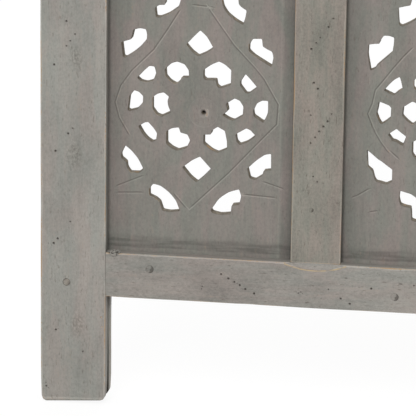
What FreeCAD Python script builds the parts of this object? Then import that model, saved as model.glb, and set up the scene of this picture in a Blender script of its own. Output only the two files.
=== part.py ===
import FreeCAD, Part
import os
import re
import Sketcher
from FreeCAD import Placement, Rotation, Vector

# A folding screen of three leaves. Each leaf is a frame of two stiles, two rails and a muntin that holds two
# pierced boards in its grooves. The leaves stand in a zigzag on two lines of butt hinges.
# Lengths are millimetres. The frame is +X to the screen's right, +Y away from its front, +Z up, with the origin
# on the floor under the centre of the middle leaf.
# Inside a leaf, x runs along it from its left edge, y from its front face to its back, and z up from the floor.

SIZES = {
    # the leaf as a whole
    "leaf_width": 400,
    "leaf_height": 1650,
    "leaf_thickness": 25,
    "rest_turn": 22,
    # the frame's members
    "stile_width": 48,
    "foot_height": 82,
    "rail_height": 33,
    "muntin_width": 36,
    "muntin_setback": 2,
    "arris_radius": 1.5,
    "foot_radius": 3,
    # grooves, tenons and pegs
    "groove_depth": 8,
    "groove_clearance": 0.1,
    "tenon_length": 38,
    "tenon_shoulder": 4,
    "muntin_tenon": 20,
    "joint_clearance": 0.1,
    "joint_end_gap": 0.8,
    "peg_diameter": 5,
    "peg_setback": 28,
    "peg_clearance": 0.05,
    # the carved boards
    "board_thickness": 8,
    "medallion_reach": 60,
    "medallion_spacing": 183.4,
    "medallion_margin": 108,
    # the hinges
    "hinge_inset": 180,
    "hinge_height": 60,
    "plate_width": 18,
    "plate_thickness": 1.6,
    "plate_clearance": 0.1,
    "leaf_gap": 1,
    "pin_radius": 1.6,
    "pin_clearance": 0.05,
    "pin_standoff": 3.5,
    "pin_head_radius": 2.6,
    "pin_head_height": 1.4,
    "knuckle_radius": 3.1,
    "knuckle_gap": 0.3,
    # the hinge screws
    "screw_radius": 1.5,
    "screw_head_radius": 3,
    "screw_length": 16,
    "screw_spacing": 20,
    "screw_stagger": 2.5,
    "screw_clearance": 0.05,
    # how far a cut runs past the face that it opens
    "overrun": 1,
}
KNUCKLE_COUNT = 5

# The holes of a medallion's upper right quarter, from its centre, as shares of the medallion's reach. Each
# family is repeated in the quarters that its signs name.
ALL_QUARTERS = ((1, 1), (-1, 1), (1, -1), (-1, -1))
SIDES = ((1, 1), (-1, 1))
ENDS = ((1, 1), (1, -1))
HOLE_SHARES = {
    "inner_petal": (ALL_QUARTERS, ((0.08, 0.35), (0.20, 0.33), (0.21, 0.27), (0.27, 0.24), (0.34, 0.28),
                                   (0.39, 0.37), (0.39, 0.47), (0.33, 0.53), (0.24, 0.55), (0.13, 0.52),
                                   (0.07, 0.44))),
    "side_petal": (SIDES, ((0.37, 0.03), (0.33, 0.12), (0.42, 0.15), (0.52, 0.12), (0.56, 0.04),
                           (0.56, -0.04), (0.52, -0.12), (0.42, -0.15), (0.33, -0.12), (0.37, -0.03))),
    "small_petal": (ALL_QUARTERS, ((0.71, 0.27), (0.66, 0.38), (0.56, 0.44), (0.50, 0.43), (0.50, 0.36),
                                   (0.55, 0.27), (0.62, 0.23))),
    "side_bud": (SIDES, ((0.84, 0.08), (0.77, 0.13), (0.69, 0.10), (0.66, 0.03),
                         (0.66, -0.03), (0.69, -0.10), (0.77, -0.13), (0.84, -0.08))),
    "diamond": (ENDS, ((0.0, 0.93), (0.08, 0.85), (0.17, 0.75), (0.09, 0.66),
                       (0.0, 0.61), (-0.09, 0.66), (-0.17, 0.75), (-0.08, 0.85))),
    "boomerang": (ALL_QUARTERS, ((0.90, 0.67), (0.80, 0.73), (0.78, 0.85), (0.67, 0.88), (0.61, 0.83),
                                 (0.61, 0.76), (0.69, 0.66), (0.80, 0.58), (0.88, 0.54))),
    "corner_arc": (ALL_QUARTERS, ((0.54, 1.02), (0.55, 1.12), (0.45, 1.18), (0.41, 1.30), (0.30, 1.33),
                                  (0.21, 1.30), (0.24, 1.17), (0.34, 1.07), (0.45, 1.02))),
}

# Places inside a leaf, as expressions of the sizes.
GROOVE_WIDTH = "(board_thickness + 2 * groove_clearance)"
GROOVE_FRONT = f"((leaf_thickness - {GROOVE_WIDTH}) / 2)"
GROOVE_BACK = f"((leaf_thickness + {GROOVE_WIDTH}) / 2)"
TENON_FRONT = "((leaf_thickness - board_thickness) / 2)"
TENON_BACK = "((leaf_thickness + board_thickness) / 2)"
INNER_RIGHT = "(leaf_width - stile_width)"
MUNTIN_LEFT = "((leaf_width - muntin_width) / 2)"
MUNTIN_RIGHT = "((leaf_width + muntin_width) / 2)"
BOTTOM_RAIL_TOP = "(foot_height + rail_height)"
TOP_RAIL_BOTTOM = "(leaf_height - rail_height)"
BOARD_TONGUE = "(groove_depth - joint_end_gap)"
# A rail's tenon stands clear of the board groove on one side and has a shoulder on the other.
BOTTOM_TENON = ("(foot_height + tenon_shoulder)", f"({BOTTOM_RAIL_TOP} - groove_depth)")
TOP_TENON = (f"({TOP_RAIL_BOTTOM} + groove_depth)", "(leaf_height - tenon_shoulder)")
OPENING = f"({TOP_RAIL_BOTTOM} - {BOTTOM_RAIL_TOP})"
# As many medallions as the opening holds with a plain margin at each end, and the column centred in it.
SPACES = f"floor(({OPENING} - 2 * medallion_margin) / medallion_spacing)"
FIRST_MEDALLION = f"({BOTTOM_RAIL_TOP} + ({OPENING} - {SPACES} * medallion_spacing) / 2)"
BOARD_WIDTH = f"({MUNTIN_LEFT} - stile_width + 2 * {BOARD_TONGUE})"
BOARD_CENTRES = {
    "left": f"(stile_width + {MUNTIN_LEFT}) / 2",
    "right": f"({MUNTIN_RIGHT} + {INNER_RIGHT}) / 2",
}
HINGE_HEIGHTS = {
    "bottom": "hinge_inset",
    "middle": "(leaf_height / 2)",
    "top": "(leaf_height - hinge_inset)",
}

# Where each leaf stands. The middle leaf is centred on the origin, and the two pins lie opposite each other
# about it, the left one behind it and the right one in front.
COSINE = "cos(rest_turn)"
SINE = "sin(rest_turn)"
PIN_ALONG = "(leaf_width / 2 + leaf_gap / 2)"
PIN_ACROSS = "(leaf_thickness / 2 + pin_standoff)"
PIN_X = f"({COSINE} * {PIN_ALONG} + {SINE} * {PIN_ACROSS})"
PIN_Y = f"({COSINE} * {PIN_ACROSS} - {SINE} * {PIN_ALONG})"
FAR_EDGE = "(leaf_width + leaf_gap / 2)"
FAR_FACE = "(leaf_thickness + pin_standoff)"
LEAVES = {
    "left_leaf": (
        "-rest_turn",
        f"-{PIN_X} - {COSINE} * {FAR_EDGE} - {SINE} * {FAR_FACE}",
        f"{PIN_Y} - {COSINE} * {FAR_FACE} + {SINE} * {FAR_EDGE}",
    ),
    "middle_leaf": (
        "rest_turn",
        f"{SINE} * leaf_thickness / 2 - {COSINE} * leaf_width / 2",
        f"-{SINE} * leaf_width / 2 - {COSINE} * leaf_thickness / 2",
    ),
    "right_leaf": (
        "-rest_turn",
        f"{PIN_X} + {COSINE} * leaf_gap / 2 + {SINE} * pin_standoff",
        f"-{PIN_Y} - {SINE} * leaf_gap / 2 + {COSINE} * pin_standoff",
    ),
}
# Each hinge side: the fold, the side of the fold that the leaf is on, the leaf, which of its edges the plates
# are let into, and which of its faces the knuckles stand on.
HINGE_SIDES = (
    ("left_fold", "left", "left_leaf", "right", "back"),
    ("left_fold", "right", "middle_leaf", "left", "back"),
    ("right_fold", "left", "middle_leaf", "right", "front"),
    ("right_fold", "right", "right_leaf", "left", "front"),
)

document = FreeCAD.newDocument("jali_screen")
sheet = document.addObject("Spreadsheet::Sheet", "sizes")
for row, (alias, value) in enumerate(SIZES.items(), start=1):
    sheet.set(f"A{row}", alias)
    sheet.set(f"B{row}", str(value))
    sheet.setAlias(f"B{row}", alias)
document.recompute()

ALIAS = re.compile(r"\b[a-z]+(?:_[a-z]+)+\b|\boverrun\b")
UPRIGHT = Vector(0, 0, 1)
THROUGH = Vector(0, 1, 0)
ACROSS = Vector(1, 0, 0)
BACKWARDS = Rotation(ACROSS, -90)
TO_THE_RIGHT = Rotation(THROUGH, 90)
TO_THE_LEFT = Rotation(THROUGH, -90)
SAME_DIRECTION = 1e-6
nodes = []


def bind(thing, prop, text):
    """Ties a property to the sheet: every alias in the text becomes a reference to its cell."""
    thing.setExpression(prop, ALIAS.sub(lambda found: "sizes." + found[0], text))


def value_of(text):
    """The number that an expression of the sizes has now."""
    return float(sheet.evalExpression(ALIAS.sub(lambda found: "sizes." + found[0], text)))


def place(piece, label, leaf, along="0"):
    """Names a finished piece and stands it where its leaf stands, a way along the leaf if need be."""
    turn, x, y = LEAVES[leaf]
    piece.Label = label
    piece.Placement = Placement(Vector(), Rotation(UPRIGHT, SIZES["rest_turn"]))
    bind(piece, "Placement.Rotation.Angle", turn)
    bind(piece, "Placement.Base.x", f"{x} + cos({turn}) * ({along})")
    bind(piece, "Placement.Base.y", f"{y} + sin({turn}) * ({along})")
    nodes.append(piece)
    return piece


def new_body(label, leaf):
    return place(document.addObject("PartDesign::Body", label), label, leaf)


def bind_base(feature, base):
    for axis, start in zip("xyz", base):
        bind(feature, f"Placement.Base.{axis}", start)
    return feature


def block(body, name, low, high, cut=False):
    """A block of the body, added or cut away, between two corners given as expressions."""
    kind = "PartDesign::SubtractiveBox" if cut else "PartDesign::AdditiveBox"
    feature = body.newObject(kind, name)
    for prop, start, end in zip(("Length", "Width", "Height"), low, high):
        bind(feature, prop, f"({end}) - ({start})")
    return bind_base(feature, low)


def rod(body, name, kind, radius, length, base, turn=Rotation()):
    """A cylinder of the body, added or cut away, that runs from its base, upright unless it is turned."""
    feature = body.newObject(f"PartDesign::{kind}Cylinder", name)
    bind(feature, "Radius", radius)
    bind(feature, "Height", length)
    feature.Placement = Placement(Vector(), turn)
    return bind_base(feature, base)


def primitive(kind, name, sizes, base, turn=Rotation()):
    """A plain solid outside any body, with its sizes and its place bound to the sheet."""
    solid = document.addObject(f"Part::{kind}", name)
    for prop, text in sizes.items():
        bind(solid, prop, text)
    solid.Placement = Placement(Vector(), turn)
    return bind_base(solid, base)


def round_edges(body, name, radius, wanted):
    """Rounds the edges of the body so far whose two ends pass a test."""
    document.recompute()
    base = body.Tip
    names = []
    for number, edge in enumerate(base.Shape.Edges, start=1):
        ends = [vertex.Point for vertex in edge.Vertexes]
        if len(ends) == 2 and wanted(*ends):
            names.append(f"Edge{number}")
    fillet = body.newObject("PartDesign::Fillet", name)
    fillet.Base = (base, names)
    bind(fillet, "Radius", radius)
    return fillet


def parallel(first, second, axis):
    run = second - first
    return run.cross(axis).Length < SAME_DIRECTION * run.Length


def on_floor_through(first, second):
    """True for the two edges of a foot that run from its front to its back."""
    return parallel(first, second, THROUGH) and abs(first.z) < SAME_DIRECTION


def upright(first, second):
    return parallel(first, second, UPRIGHT)


def lengthwise(first, second):
    return parallel(first, second, ACROSS)


def span(start, sign, near, far):
    """The lower and upper end of a stretch that lies from near to far beyond start, towards sign."""
    if sign > 0:
        return f"{start} + {near}", f"{start} + {far}"
    return f"{start} - {far}", f"{start} - {near}"


# Frame members

def mortise(body, name, x_range, z_range):
    """A socket for a tenon, a little larger than the tenon on its cheeks and edges."""
    block(body, name,
          (x_range[0], f"{TENON_FRONT} - joint_clearance", f"{z_range[0]} - joint_clearance"),
          (x_range[1], f"{TENON_BACK} + joint_clearance", f"{z_range[1]} + joint_clearance"), cut=True)


def peg_holes(body, peg_x):
    """The holes through which the pegs pin both rails' tenons."""
    for name, x, z in peg_x:
        rod(body, f"{name}_peg_hole", "Subtractive", "peg_diameter / 2 + peg_clearance",
            "leaf_thickness + 2 * overrun", (x, "-overrun", z), BACKWARDS)


def hinge_seats(body, leaf, edge):
    """The shallow seat and the pilot holes for each hinge plate on one edge of a stile."""
    sides = [side for side in HINGE_SIDES if side[2:4] == (leaf, edge)]
    for fold, _, _, _, face in sides:
        inward = 1 if edge == "left" else -1
        outer = "0" if edge == "left" else "leaf_width"
        x = span(outer, inward, "0", "plate_thickness")
        into = 1 if face == "front" else -1
        surface = "0" if face == "front" else "leaf_thickness"
        y = span(surface, into, "-overrun", "(plate_width + plate_clearance)")
        for name, height in HINGE_HEIGHTS.items():
            z = span(height, 1, "(-hinge_height / 2 - plate_clearance)", "(hinge_height / 2 + plate_clearance)")
            block(body, f"{name}_hinge_seat", (x[0], y[0], z[0]), (x[1], y[1], z[1]), cut=True)
            for number, (screw_y, screw_z) in enumerate(screw_places(face, height), start=1):
                rod(body, f"{name}_hinge_pilot{number}", "Subtractive", "screw_radius + screw_clearance",
                    "screw_length + screw_clearance", (outer, screw_y, screw_z),
                    TO_THE_RIGHT if inward > 0 else TO_THE_LEFT)


def screw_places(face, height):
    """Where a plate's three screws go in, across the edge and up it, the middle one staggered."""
    surface, into = ("0", "+") if face == "front" else ("leaf_thickness", "-")
    middle = f"{surface} {into} plate_width / 2"
    return ((f"{middle} - screw_stagger", f"{height} - screw_spacing"),
            (f"{middle} + screw_stagger", height),
            (f"{middle} - screw_stagger", f"{height} + screw_spacing"))


def stile(leaf, edge):
    """An upright of the frame: its lower end is the foot, and its groove runs out at both ends."""
    body = new_body(f"{leaf}_{edge}_stile", leaf)
    x = ("0", "stile_width") if edge == "left" else (INNER_RIGHT, "leaf_width")
    block(body, "blank", (x[0], "0", "0"), (x[1], "leaf_thickness", "leaf_height"))
    round_edges(body, "foot_corners", "foot_radius", on_floor_through)
    round_edges(body, "arrises", "arris_radius", upright)
    inner, outward = ("stile_width", -1) if edge == "left" else (INNER_RIGHT, 1)
    groove = span(inner, outward, "-overrun", "groove_depth")
    block(body, "board_groove", (groove[0], GROOVE_FRONT, "-overrun"),
          (groove[1], GROOVE_BACK, "leaf_height + overrun"), cut=True)
    socket = span(inner, outward, "-overrun", "(tenon_length + joint_end_gap)")
    mortise(body, "bottom_mortise", socket, BOTTOM_TENON)
    mortise(body, "top_mortise", socket, TOP_TENON)
    peg_holes(body, [(name, PEG_X[edge], z) for name, z in PEG_Z.items()])
    hinge_seats(body, leaf, edge)


def rail(leaf, end):
    """A crosspiece between the stiles, with a tenon at each end, a board groove and the muntin's mortise."""
    body = new_body(f"{leaf}_{end}_rail", leaf)
    if end == "bottom":
        z, tenon = ("foot_height", BOTTOM_RAIL_TOP), BOTTOM_TENON
        edge, down = BOTTOM_RAIL_TOP, -1
    else:
        z, tenon = (TOP_RAIL_BOTTOM, "leaf_height"), TOP_TENON
        edge, down = TOP_RAIL_BOTTOM, 1
    block(body, "blank", ("stile_width", "0", z[0]), (INNER_RIGHT, "leaf_thickness", z[1]))
    round_edges(body, "arrises", "arris_radius", lengthwise)
    groove = span(edge, down, "-overrun", "groove_depth")
    block(body, "board_groove", ("stile_width - overrun", GROOVE_FRONT, groove[0]),
          (f"{INNER_RIGHT} + overrun", GROOVE_BACK, groove[1]), cut=True)
    socket = span(edge, down, "-overrun", "(muntin_tenon + joint_end_gap)")
    mortise(body, "muntin_mortise",
            (f"{MUNTIN_LEFT} + groove_depth - joint_clearance", f"{MUNTIN_RIGHT} - groove_depth + joint_clearance"),
            socket)
    block(body, "left_tenon", ("stile_width - tenon_length", TENON_FRONT, tenon[0]),
          ("stile_width", TENON_BACK, tenon[1]))
    block(body, "right_tenon", (INNER_RIGHT, TENON_FRONT, tenon[0]),
          (f"{INNER_RIGHT} + tenon_length", TENON_BACK, tenon[1]))
    peg_holes(body, [(side, x, PEG_Z[end]) for side, x in PEG_X.items()])


def muntin(leaf):
    """The slimmer upright between the boards, set back behind the rails' faces."""
    body = new_body(f"{leaf}_muntin", leaf)
    block(body, "blank", (MUNTIN_LEFT, "muntin_setback", BOTTOM_RAIL_TOP),
          (MUNTIN_RIGHT, "leaf_thickness - muntin_setback", TOP_RAIL_BOTTOM))
    round_edges(body, "arrises", "arris_radius", upright)
    for name, edge, inward in (("left_groove", MUNTIN_LEFT, 1), ("right_groove", MUNTIN_RIGHT, -1)):
        groove = span(edge, inward, "-overrun", "groove_depth")
        block(body, name, (groove[0], GROOVE_FRONT, f"{BOTTOM_RAIL_TOP} - overrun"),
              (groove[1], GROOVE_BACK, f"{TOP_RAIL_BOTTOM} + overrun"), cut=True)
    for name, z in (("bottom_tenon", (f"{BOTTOM_RAIL_TOP} - muntin_tenon", BOTTOM_RAIL_TOP)),
                    ("top_tenon", (TOP_RAIL_BOTTOM, f"{TOP_RAIL_BOTTOM} + muntin_tenon"))):
        block(body, name, (f"{MUNTIN_LEFT} + groove_depth", TENON_FRONT, z[0]),
              (f"{MUNTIN_RIGHT} - groove_depth", TENON_BACK, z[1]))


# Carved boards

START = 1
END = 2
ORIGIN = HORIZONTAL = -1
VERTICAL = -2


def family_outlines(body, family):
    """One family of a medallion's holes, drawn about its centre on the board's front face: the first hole's
    corners are set from the medallion's reach, and the others mirror it."""
    quarters, outline_shares = HOLE_SHARES[family]
    plane = next(feature for feature in body.Origin.OriginFeatures if feature.Role == "XZ_Plane")
    sketch = body.newObject("Sketcher::SketchObject", f"{family}_outlines")
    sketch.AttachmentSupport = (plane, [""])
    sketch.MapMode = "FlatFace"
    bind(sketch, "AttachmentOffset.Base.y", FIRST_MEDALLION)
    bind(sketch, "AttachmentOffset.Base.z", f"-{TENON_FRONT}")
    reach = SIZES["medallion_reach"]
    count = len(outline_shares)
    constraints = []
    bound = []
    for turn, (sign_x, sign_z) in enumerate(quarters):
        start = turn * count
        corners = [Vector(sign_x * x * reach, sign_z * z * reach) for x, z in outline_shares]
        sketch.addGeometry([Part.LineSegment(corners[i - 1], corners[i]) for i in range(count)], False)
        for i in range(count):
            before = start + (i - 1) % count
            constraints.append(Sketcher.Constraint("Coincident", before, END, start + i, START))
            if turn == 0:
                for kind, share in zip(("DistanceX", "DistanceY"), outline_shares[i]):
                    bound.append((len(constraints), share))
                    constraints.append(Sketcher.Constraint(kind, i, END, share * reach))
            elif (sign_x, sign_z) == (-1, -1):
                constraints.append(Sketcher.Constraint("Symmetric", i, END, start + i, END, ORIGIN, START))
            else:
                mirror = VERTICAL if sign_x < 0 else HORIZONTAL
                constraints.append(Sketcher.Constraint("Symmetric", i, END, start + i, END, mirror))
    sketch.addConstraint(constraints)
    for number, share in bound:
        bind(sketch, f"Constraints[{number}]", f"{share} * medallion_reach")
    return sketch


def medallion_tile():
    """The stretch of board that holds the lowest medallion, centred on x = 0, with its holes cut through."""
    body = document.addObject("PartDesign::Body", "medallion_tile")
    half = "medallion_spacing / 2"
    block(body, "blank", (f"-{BOARD_WIDTH} / 2", TENON_FRONT, f"{FIRST_MEDALLION} - {half}"),
          (f"{BOARD_WIDTH} / 2", TENON_BACK, f"{FIRST_MEDALLION} + {half}"))
    for family in HOLE_SHARES:
        cut = body.newObject("PartDesign::Pocket", family)
        cut.Profile = family_outlines(body, family)
        cut.Refine = False
        bind(cut, "Length", "board_thickness")
    document.recompute()
    return body


def pierced_board():
    """A whole board centred on x = 0: the medallion repeated up it, with a plain margin at each end."""
    tile = medallion_tile()
    stretches = []
    for number in range(round(value_of(SPACES)) + 1):
        copy = document.addObject("Part::Compound", f"medallion{number + 1}")
        copy.Links = [tile]
        bind(copy, "Placement.Base.z", f"{number} * medallion_spacing")
        stretches.append(copy)
    low = f"({BOTTOM_RAIL_TOP} - {BOARD_TONGUE})"
    high = f"({TOP_RAIL_BOTTOM} + {BOARD_TONGUE})"
    for name, start, end in (
            ("lower_margin", low, f"({FIRST_MEDALLION} - medallion_spacing / 2)"),
            ("upper_margin", f"({FIRST_MEDALLION} + ({SPACES} + 1 / 2) * medallion_spacing)", high)):
        stretches.append(primitive("Box", name,
                                   {"Length": BOARD_WIDTH, "Width": "board_thickness",
                                    "Height": f"{end} - {start}"},
                                   (f"-{BOARD_WIDTH} / 2", TENON_FRONT, start)))
    board = document.addObject("Part::MultiFuse", "pierced_board")
    board.Shapes = stretches
    board.Refine = False
    document.recompute()
    return board


def carved_board(leaf, side, board):
    """A thin board held in the grooves on all four edges, one of six alike."""
    copy = document.addObject("Part::Compound", f"{leaf}_{side}_carving")
    copy.Links = [board]
    place(copy, f"{leaf}_{side}_board", leaf, BOARD_CENTRES[side])


# Pegs, hinges and screws

PEG_X = {
    "left": "(stile_width - peg_setback)",
    "right": f"({INNER_RIGHT} + peg_setback)",
}
PEG_Z = {
    "bottom": f"(({BOTTOM_TENON[0]} + {BOTTOM_TENON[1]}) / 2)",
    "top": f"(({TOP_TENON[0]} + {TOP_TENON[1]}) / 2)",
}


def tenon_pegs(leaf):
    """The round pegs that pin the rails' tenons, flush with both faces of the stiles."""
    pegs = []
    for side, x in PEG_X.items():
        for end, z in PEG_Z.items():
            pegs.append(primitive("Cylinder", f"{leaf}_{side}_{end}_peg",
                                  {"Radius": "peg_diameter / 2", "Height": "leaf_thickness"},
                                  (x, "0", z), BACKWARDS))
    group = document.addObject("Part::Compound", f"{leaf}_pegs")
    group.Links = pegs
    place(group, f"{leaf}_tenon_pegs", leaf)


def knuckle_span(number, height):
    """The lower and upper end of one knuckle of a hinge, counted from the bottom."""
    step = f"((hinge_height + knuckle_gap) / {KNUCKLE_COUNT})"
    low = f"({height} - hinge_height / 2 + {number} * {step})"
    return low, f"({low} + {step} - knuckle_gap)"


def hinge_plate(fold, side, leaf, edge, face, name, height):
    """One plate of a butt hinge, let into a stile's edge, with its share of the knuckles round the pin."""
    body = new_body(f"{fold}_{name}_hinge_{side}_plate", leaf)
    outer, inward = ("0", 1) if edge == "left" else ("leaf_width", -1)
    surface, into = ("0", 1) if face == "front" else ("leaf_thickness", -1)
    x = span(outer, inward, "0", "plate_thickness")
    plate_y = span(surface, into, "0", "plate_width")
    tab_y = span(surface, -into, "0", "pin_standoff")
    pin_x = f"({outer} {'-' if inward > 0 else '+'} leaf_gap / 2)"
    pin_y = f"({surface} {'-' if into > 0 else '+'} pin_standoff)"
    bottom = f"({height} - hinge_height / 2)"
    block(body, "plate", (x[0], plate_y[0], bottom), (x[1], plate_y[1], f"({height} + hinge_height / 2)"))
    for number in range(0 if side == "left" else 1, KNUCKLE_COUNT, 2):
        low, high = knuckle_span(number, height)
        block(body, f"tab{number}", (x[0], tab_y[0], low), (x[1], tab_y[1], high))
        rod(body, f"knuckle{number}", "Additive", "knuckle_radius", f"{high} - {low}", (pin_x, pin_y, low))
    rod(body, "pin_bore", "Subtractive", "pin_radius + pin_clearance", "hinge_height + 2 * overrun",
        (pin_x, pin_y, f"{bottom} - overrun"))
    turn = TO_THE_RIGHT if inward > 0 else TO_THE_LEFT
    for number, (screw_y, screw_z) in enumerate(screw_places(face, height), start=1):
        sink = body.newObject("PartDesign::SubtractiveCone", f"countersink{number}")
        bind(sink, "Radius1", "screw_head_radius + screw_clearance")
        bind(sink, "Radius2", "screw_radius + screw_clearance")
        bind(sink, "Height", "plate_thickness")
        sink.Placement = Placement(Vector(), turn)
        bind_base(sink, (outer, screw_y, screw_z))


def hinge_pin(fold, leaf, name, height):
    """The pin through one hinge's knuckles, with a head at each end, carried by the left leaf's plate."""
    pin_x = "(leaf_width + leaf_gap / 2)"
    pin_y = "(leaf_thickness + pin_standoff)" if fold == "left_fold" else "(-pin_standoff)"
    low = f"({height} - hinge_height / 2)"
    body = new_body(f"{fold}_{name}_hinge_pin", leaf)
    rod(body, "shank", "Additive", "pin_radius", "hinge_height", (pin_x, pin_y, low))
    rod(body, "lower_head", "Additive", "pin_head_radius", "pin_head_height",
        (pin_x, pin_y, f"{low} - pin_head_height"))
    rod(body, "upper_head", "Additive", "pin_head_radius", "pin_head_height",
        (pin_x, pin_y, f"{low} + hinge_height"))


def hinge_screws(fold, side, leaf, edge, face):
    """The countersunk screws that hold one side's three plates, flush with the plates."""
    outer, turn = ("0", TO_THE_RIGHT) if edge == "left" else ("leaf_width", TO_THE_LEFT)
    inward = "+" if edge == "left" else "-"
    screws = []
    for name, height in HINGE_HEIGHTS.items():
        for number, (y, z) in enumerate(screw_places(face, height), start=1):
            label = f"{fold}_{side}_{name}_screw{number}"
            head = primitive("Cone", f"{label}_head",
                             {"Radius1": "screw_head_radius", "Radius2": "screw_radius",
                              "Height": "plate_thickness"}, (outer, y, z), turn)
            shank = primitive("Cylinder", f"{label}_shank",
                              {"Radius": "screw_radius", "Height": "screw_length - plate_thickness"},
                              (f"{outer} {inward} plate_thickness", y, z), turn)
            screw = document.addObject("Part::Fuse", label)
            screw.Base = head
            screw.Tool = shank
            screws.append(screw)
    group = document.addObject("Part::Compound", f"{fold}_{side}_screw_group")
    group.Links = screws
    place(group, f"{fold}_{side}_screws", leaf)


def check(node, sound):
    """Stops the build if a piece failed, is empty or isn't sound. A solid that only repeats one found sound
    elsewhere, at another place, is sound too."""
    shape = node.Shape
    if shape.isNull() or not shape.Solids:
        raise RuntimeError(f"{node.Label} has no shape")
    for solid in shape.Solids:
        if not any(solid.isPartner(known) for known in sound):
            if not solid.isValid():
                raise RuntimeError(f"{node.Label} isn't sound")
            sound.append(solid)
    for feature in getattr(node, "Group", []):
        cut = feature.TypeId.startswith("PartDesign::Subtractive") or feature.TypeId == "PartDesign::Pocket"
        if cut and feature.BaseFeature.Shape.Volume - feature.Shape.Volume <= 0:
            raise RuntimeError(f"{node.Label}: {feature.Label} cuts nothing")


whole_board = pierced_board()
for leaf_name in LEAVES:
    for stile_edge in ("left", "right"):
        stile(leaf_name, stile_edge)
    for rail_end in ("bottom", "top"):
        rail(leaf_name, rail_end)
    muntin(leaf_name)
    for board_side in ("left", "right"):
        carved_board(leaf_name, board_side, whole_board)
    tenon_pegs(leaf_name)
for hinge_fold, fold_side, hinge_leaf, hinge_edge, hinge_face in HINGE_SIDES:
    for hinge_name, hinge_z in HINGE_HEIGHTS.items():
        hinge_plate(hinge_fold, fold_side, hinge_leaf, hinge_edge, hinge_face, hinge_name, hinge_z)
        if fold_side == "left":
            hinge_pin(hinge_fold, hinge_leaf, hinge_name, hinge_z)
    hinge_screws(hinge_fold, fold_side, hinge_leaf, hinge_edge, hinge_face)

document.recompute()
for thing in document.Objects:
    if "Invalid" in thing.State or "Error" in thing.State:
        raise RuntimeError(f"{thing.Label} did not recompute: {thing.State}")
sound_solids = []
for node in nodes:
    check(node, sound_solids)
os.makedirs("parts", exist_ok=True)
for node in nodes:
    node.Shape.exportStep(f"parts/{node.Label}.step")
    print(node.Label, len(node.Shape.Solids), round(node.Shape.Volume))
print(len(nodes), "pieces")
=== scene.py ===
# %% [markdown]
# A folding screen of three leaves stands in a zigzag. Each leaf is a plain frame of two stiles, two rails and a
# muntin, and it holds two thin boards that are pierced and scribed by hand. A worn grey wash covers all of it.
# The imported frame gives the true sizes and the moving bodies, so it is loaded before anything else is made.

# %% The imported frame
import math
import random

import bmesh
import bpy
import numpy
from mathutils import Matrix, Vector, noise
from mathutils.geometry import delaunay_2d_cdt, intersect_point_line
from mathutils.kdtree import KDTree


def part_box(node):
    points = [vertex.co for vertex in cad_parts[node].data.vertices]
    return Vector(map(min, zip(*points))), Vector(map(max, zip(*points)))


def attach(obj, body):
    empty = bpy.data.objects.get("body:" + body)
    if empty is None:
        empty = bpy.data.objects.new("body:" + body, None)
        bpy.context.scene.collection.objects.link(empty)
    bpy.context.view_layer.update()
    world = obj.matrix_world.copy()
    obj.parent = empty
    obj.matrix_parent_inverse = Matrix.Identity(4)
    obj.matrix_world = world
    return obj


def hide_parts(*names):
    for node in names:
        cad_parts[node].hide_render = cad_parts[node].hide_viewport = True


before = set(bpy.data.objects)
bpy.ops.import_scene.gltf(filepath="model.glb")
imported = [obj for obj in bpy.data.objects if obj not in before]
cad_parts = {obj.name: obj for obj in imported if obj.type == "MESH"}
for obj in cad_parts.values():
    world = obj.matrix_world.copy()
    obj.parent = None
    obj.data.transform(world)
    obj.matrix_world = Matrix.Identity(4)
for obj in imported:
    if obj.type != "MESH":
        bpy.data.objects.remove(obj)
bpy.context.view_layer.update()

# %% [markdown]
# Every piece is drawn in its own leaf's space, where x runs along the leaf from its left edge, y goes from its
# front face to its back and z goes up from the floor. At the end a piece is turned to where its leaf stands.
# Working on a straight leaf is much easier than on one that stands at an angle.

# %% Sizes and the leaf's own space
MM = 0.001
LEAF_WIDTH = 400 * MM
LEAF_HEIGHT = 1650 * MM
THICKNESS = 25 * MM
STILE = 48 * MM
FOOT = 82 * MM
RAIL = 33 * MM
MUNTIN = 36 * MM
SETBACK = 2 * MM
BOARD_MM = 8
BOARD = BOARD_MM * MM
BOARD_FRONT = (THICKNESS - BOARD) / 2
RAIL_TOP = FOOT + RAIL
TOP_RAIL = LEAF_HEIGHT - RAIL
MUNTIN_LEFT = (LEAF_WIDTH - MUNTIN) / 2
MUNTIN_RIGHT = (LEAF_WIDTH + MUNTIN) / 2
GROOVE_DEPTH = 8 * MM
GROOVE_Y = (8.4 * MM, 16.6 * MM)
TENON_Y = (8.5 * MM, 16.5 * MM)
PEG_IN = 20 * MM
OVER = 5 * MM
TURN = math.radians(22)
PIN_OUT = 3.5 * MM
PIN_BESIDE = 0.5 * MM
ALONG_PIN = LEAF_WIDTH / 2 + PIN_BESIDE
ACROSS_PIN = THICKNESS / 2 + PIN_OUT


def leaf_space(turn, point_on_leaf, point_in_room):
    """The matrix that turns a leaf and brings one of its points to a place in the room."""
    turned = Matrix.Rotation(turn, 4, "Z")
    return Matrix.Translation(Vector(point_in_room) - turned @ Vector(point_on_leaf)) @ turned


pin_x = math.cos(TURN) * ALONG_PIN + math.sin(TURN) * ACROSS_PIN
pin_y = math.cos(TURN) * ACROSS_PIN - math.sin(TURN) * ALONG_PIN
LEAVES = {
    "left_leaf": leaf_space(-TURN, (LEAF_WIDTH + PIN_BESIDE, THICKNESS + PIN_OUT, 0), (-pin_x, pin_y, 0)),
    "middle_leaf": leaf_space(TURN, (LEAF_WIDTH / 2, THICKNESS / 2, 0), (0, 0, 0)),
    "right_leaf": leaf_space(-TURN, (-PIN_BESIDE, -PIN_OUT, 0), (pin_x, -pin_y, 0)),
}
for leaf, space in LEAVES.items():
    low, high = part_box(f"{leaf}_left_stile")
    print(leaf, "starts at", [round(v, 4) for v in space.translation], "- its stile's box starts at",
          [round(v, 4) for v in low])

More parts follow.
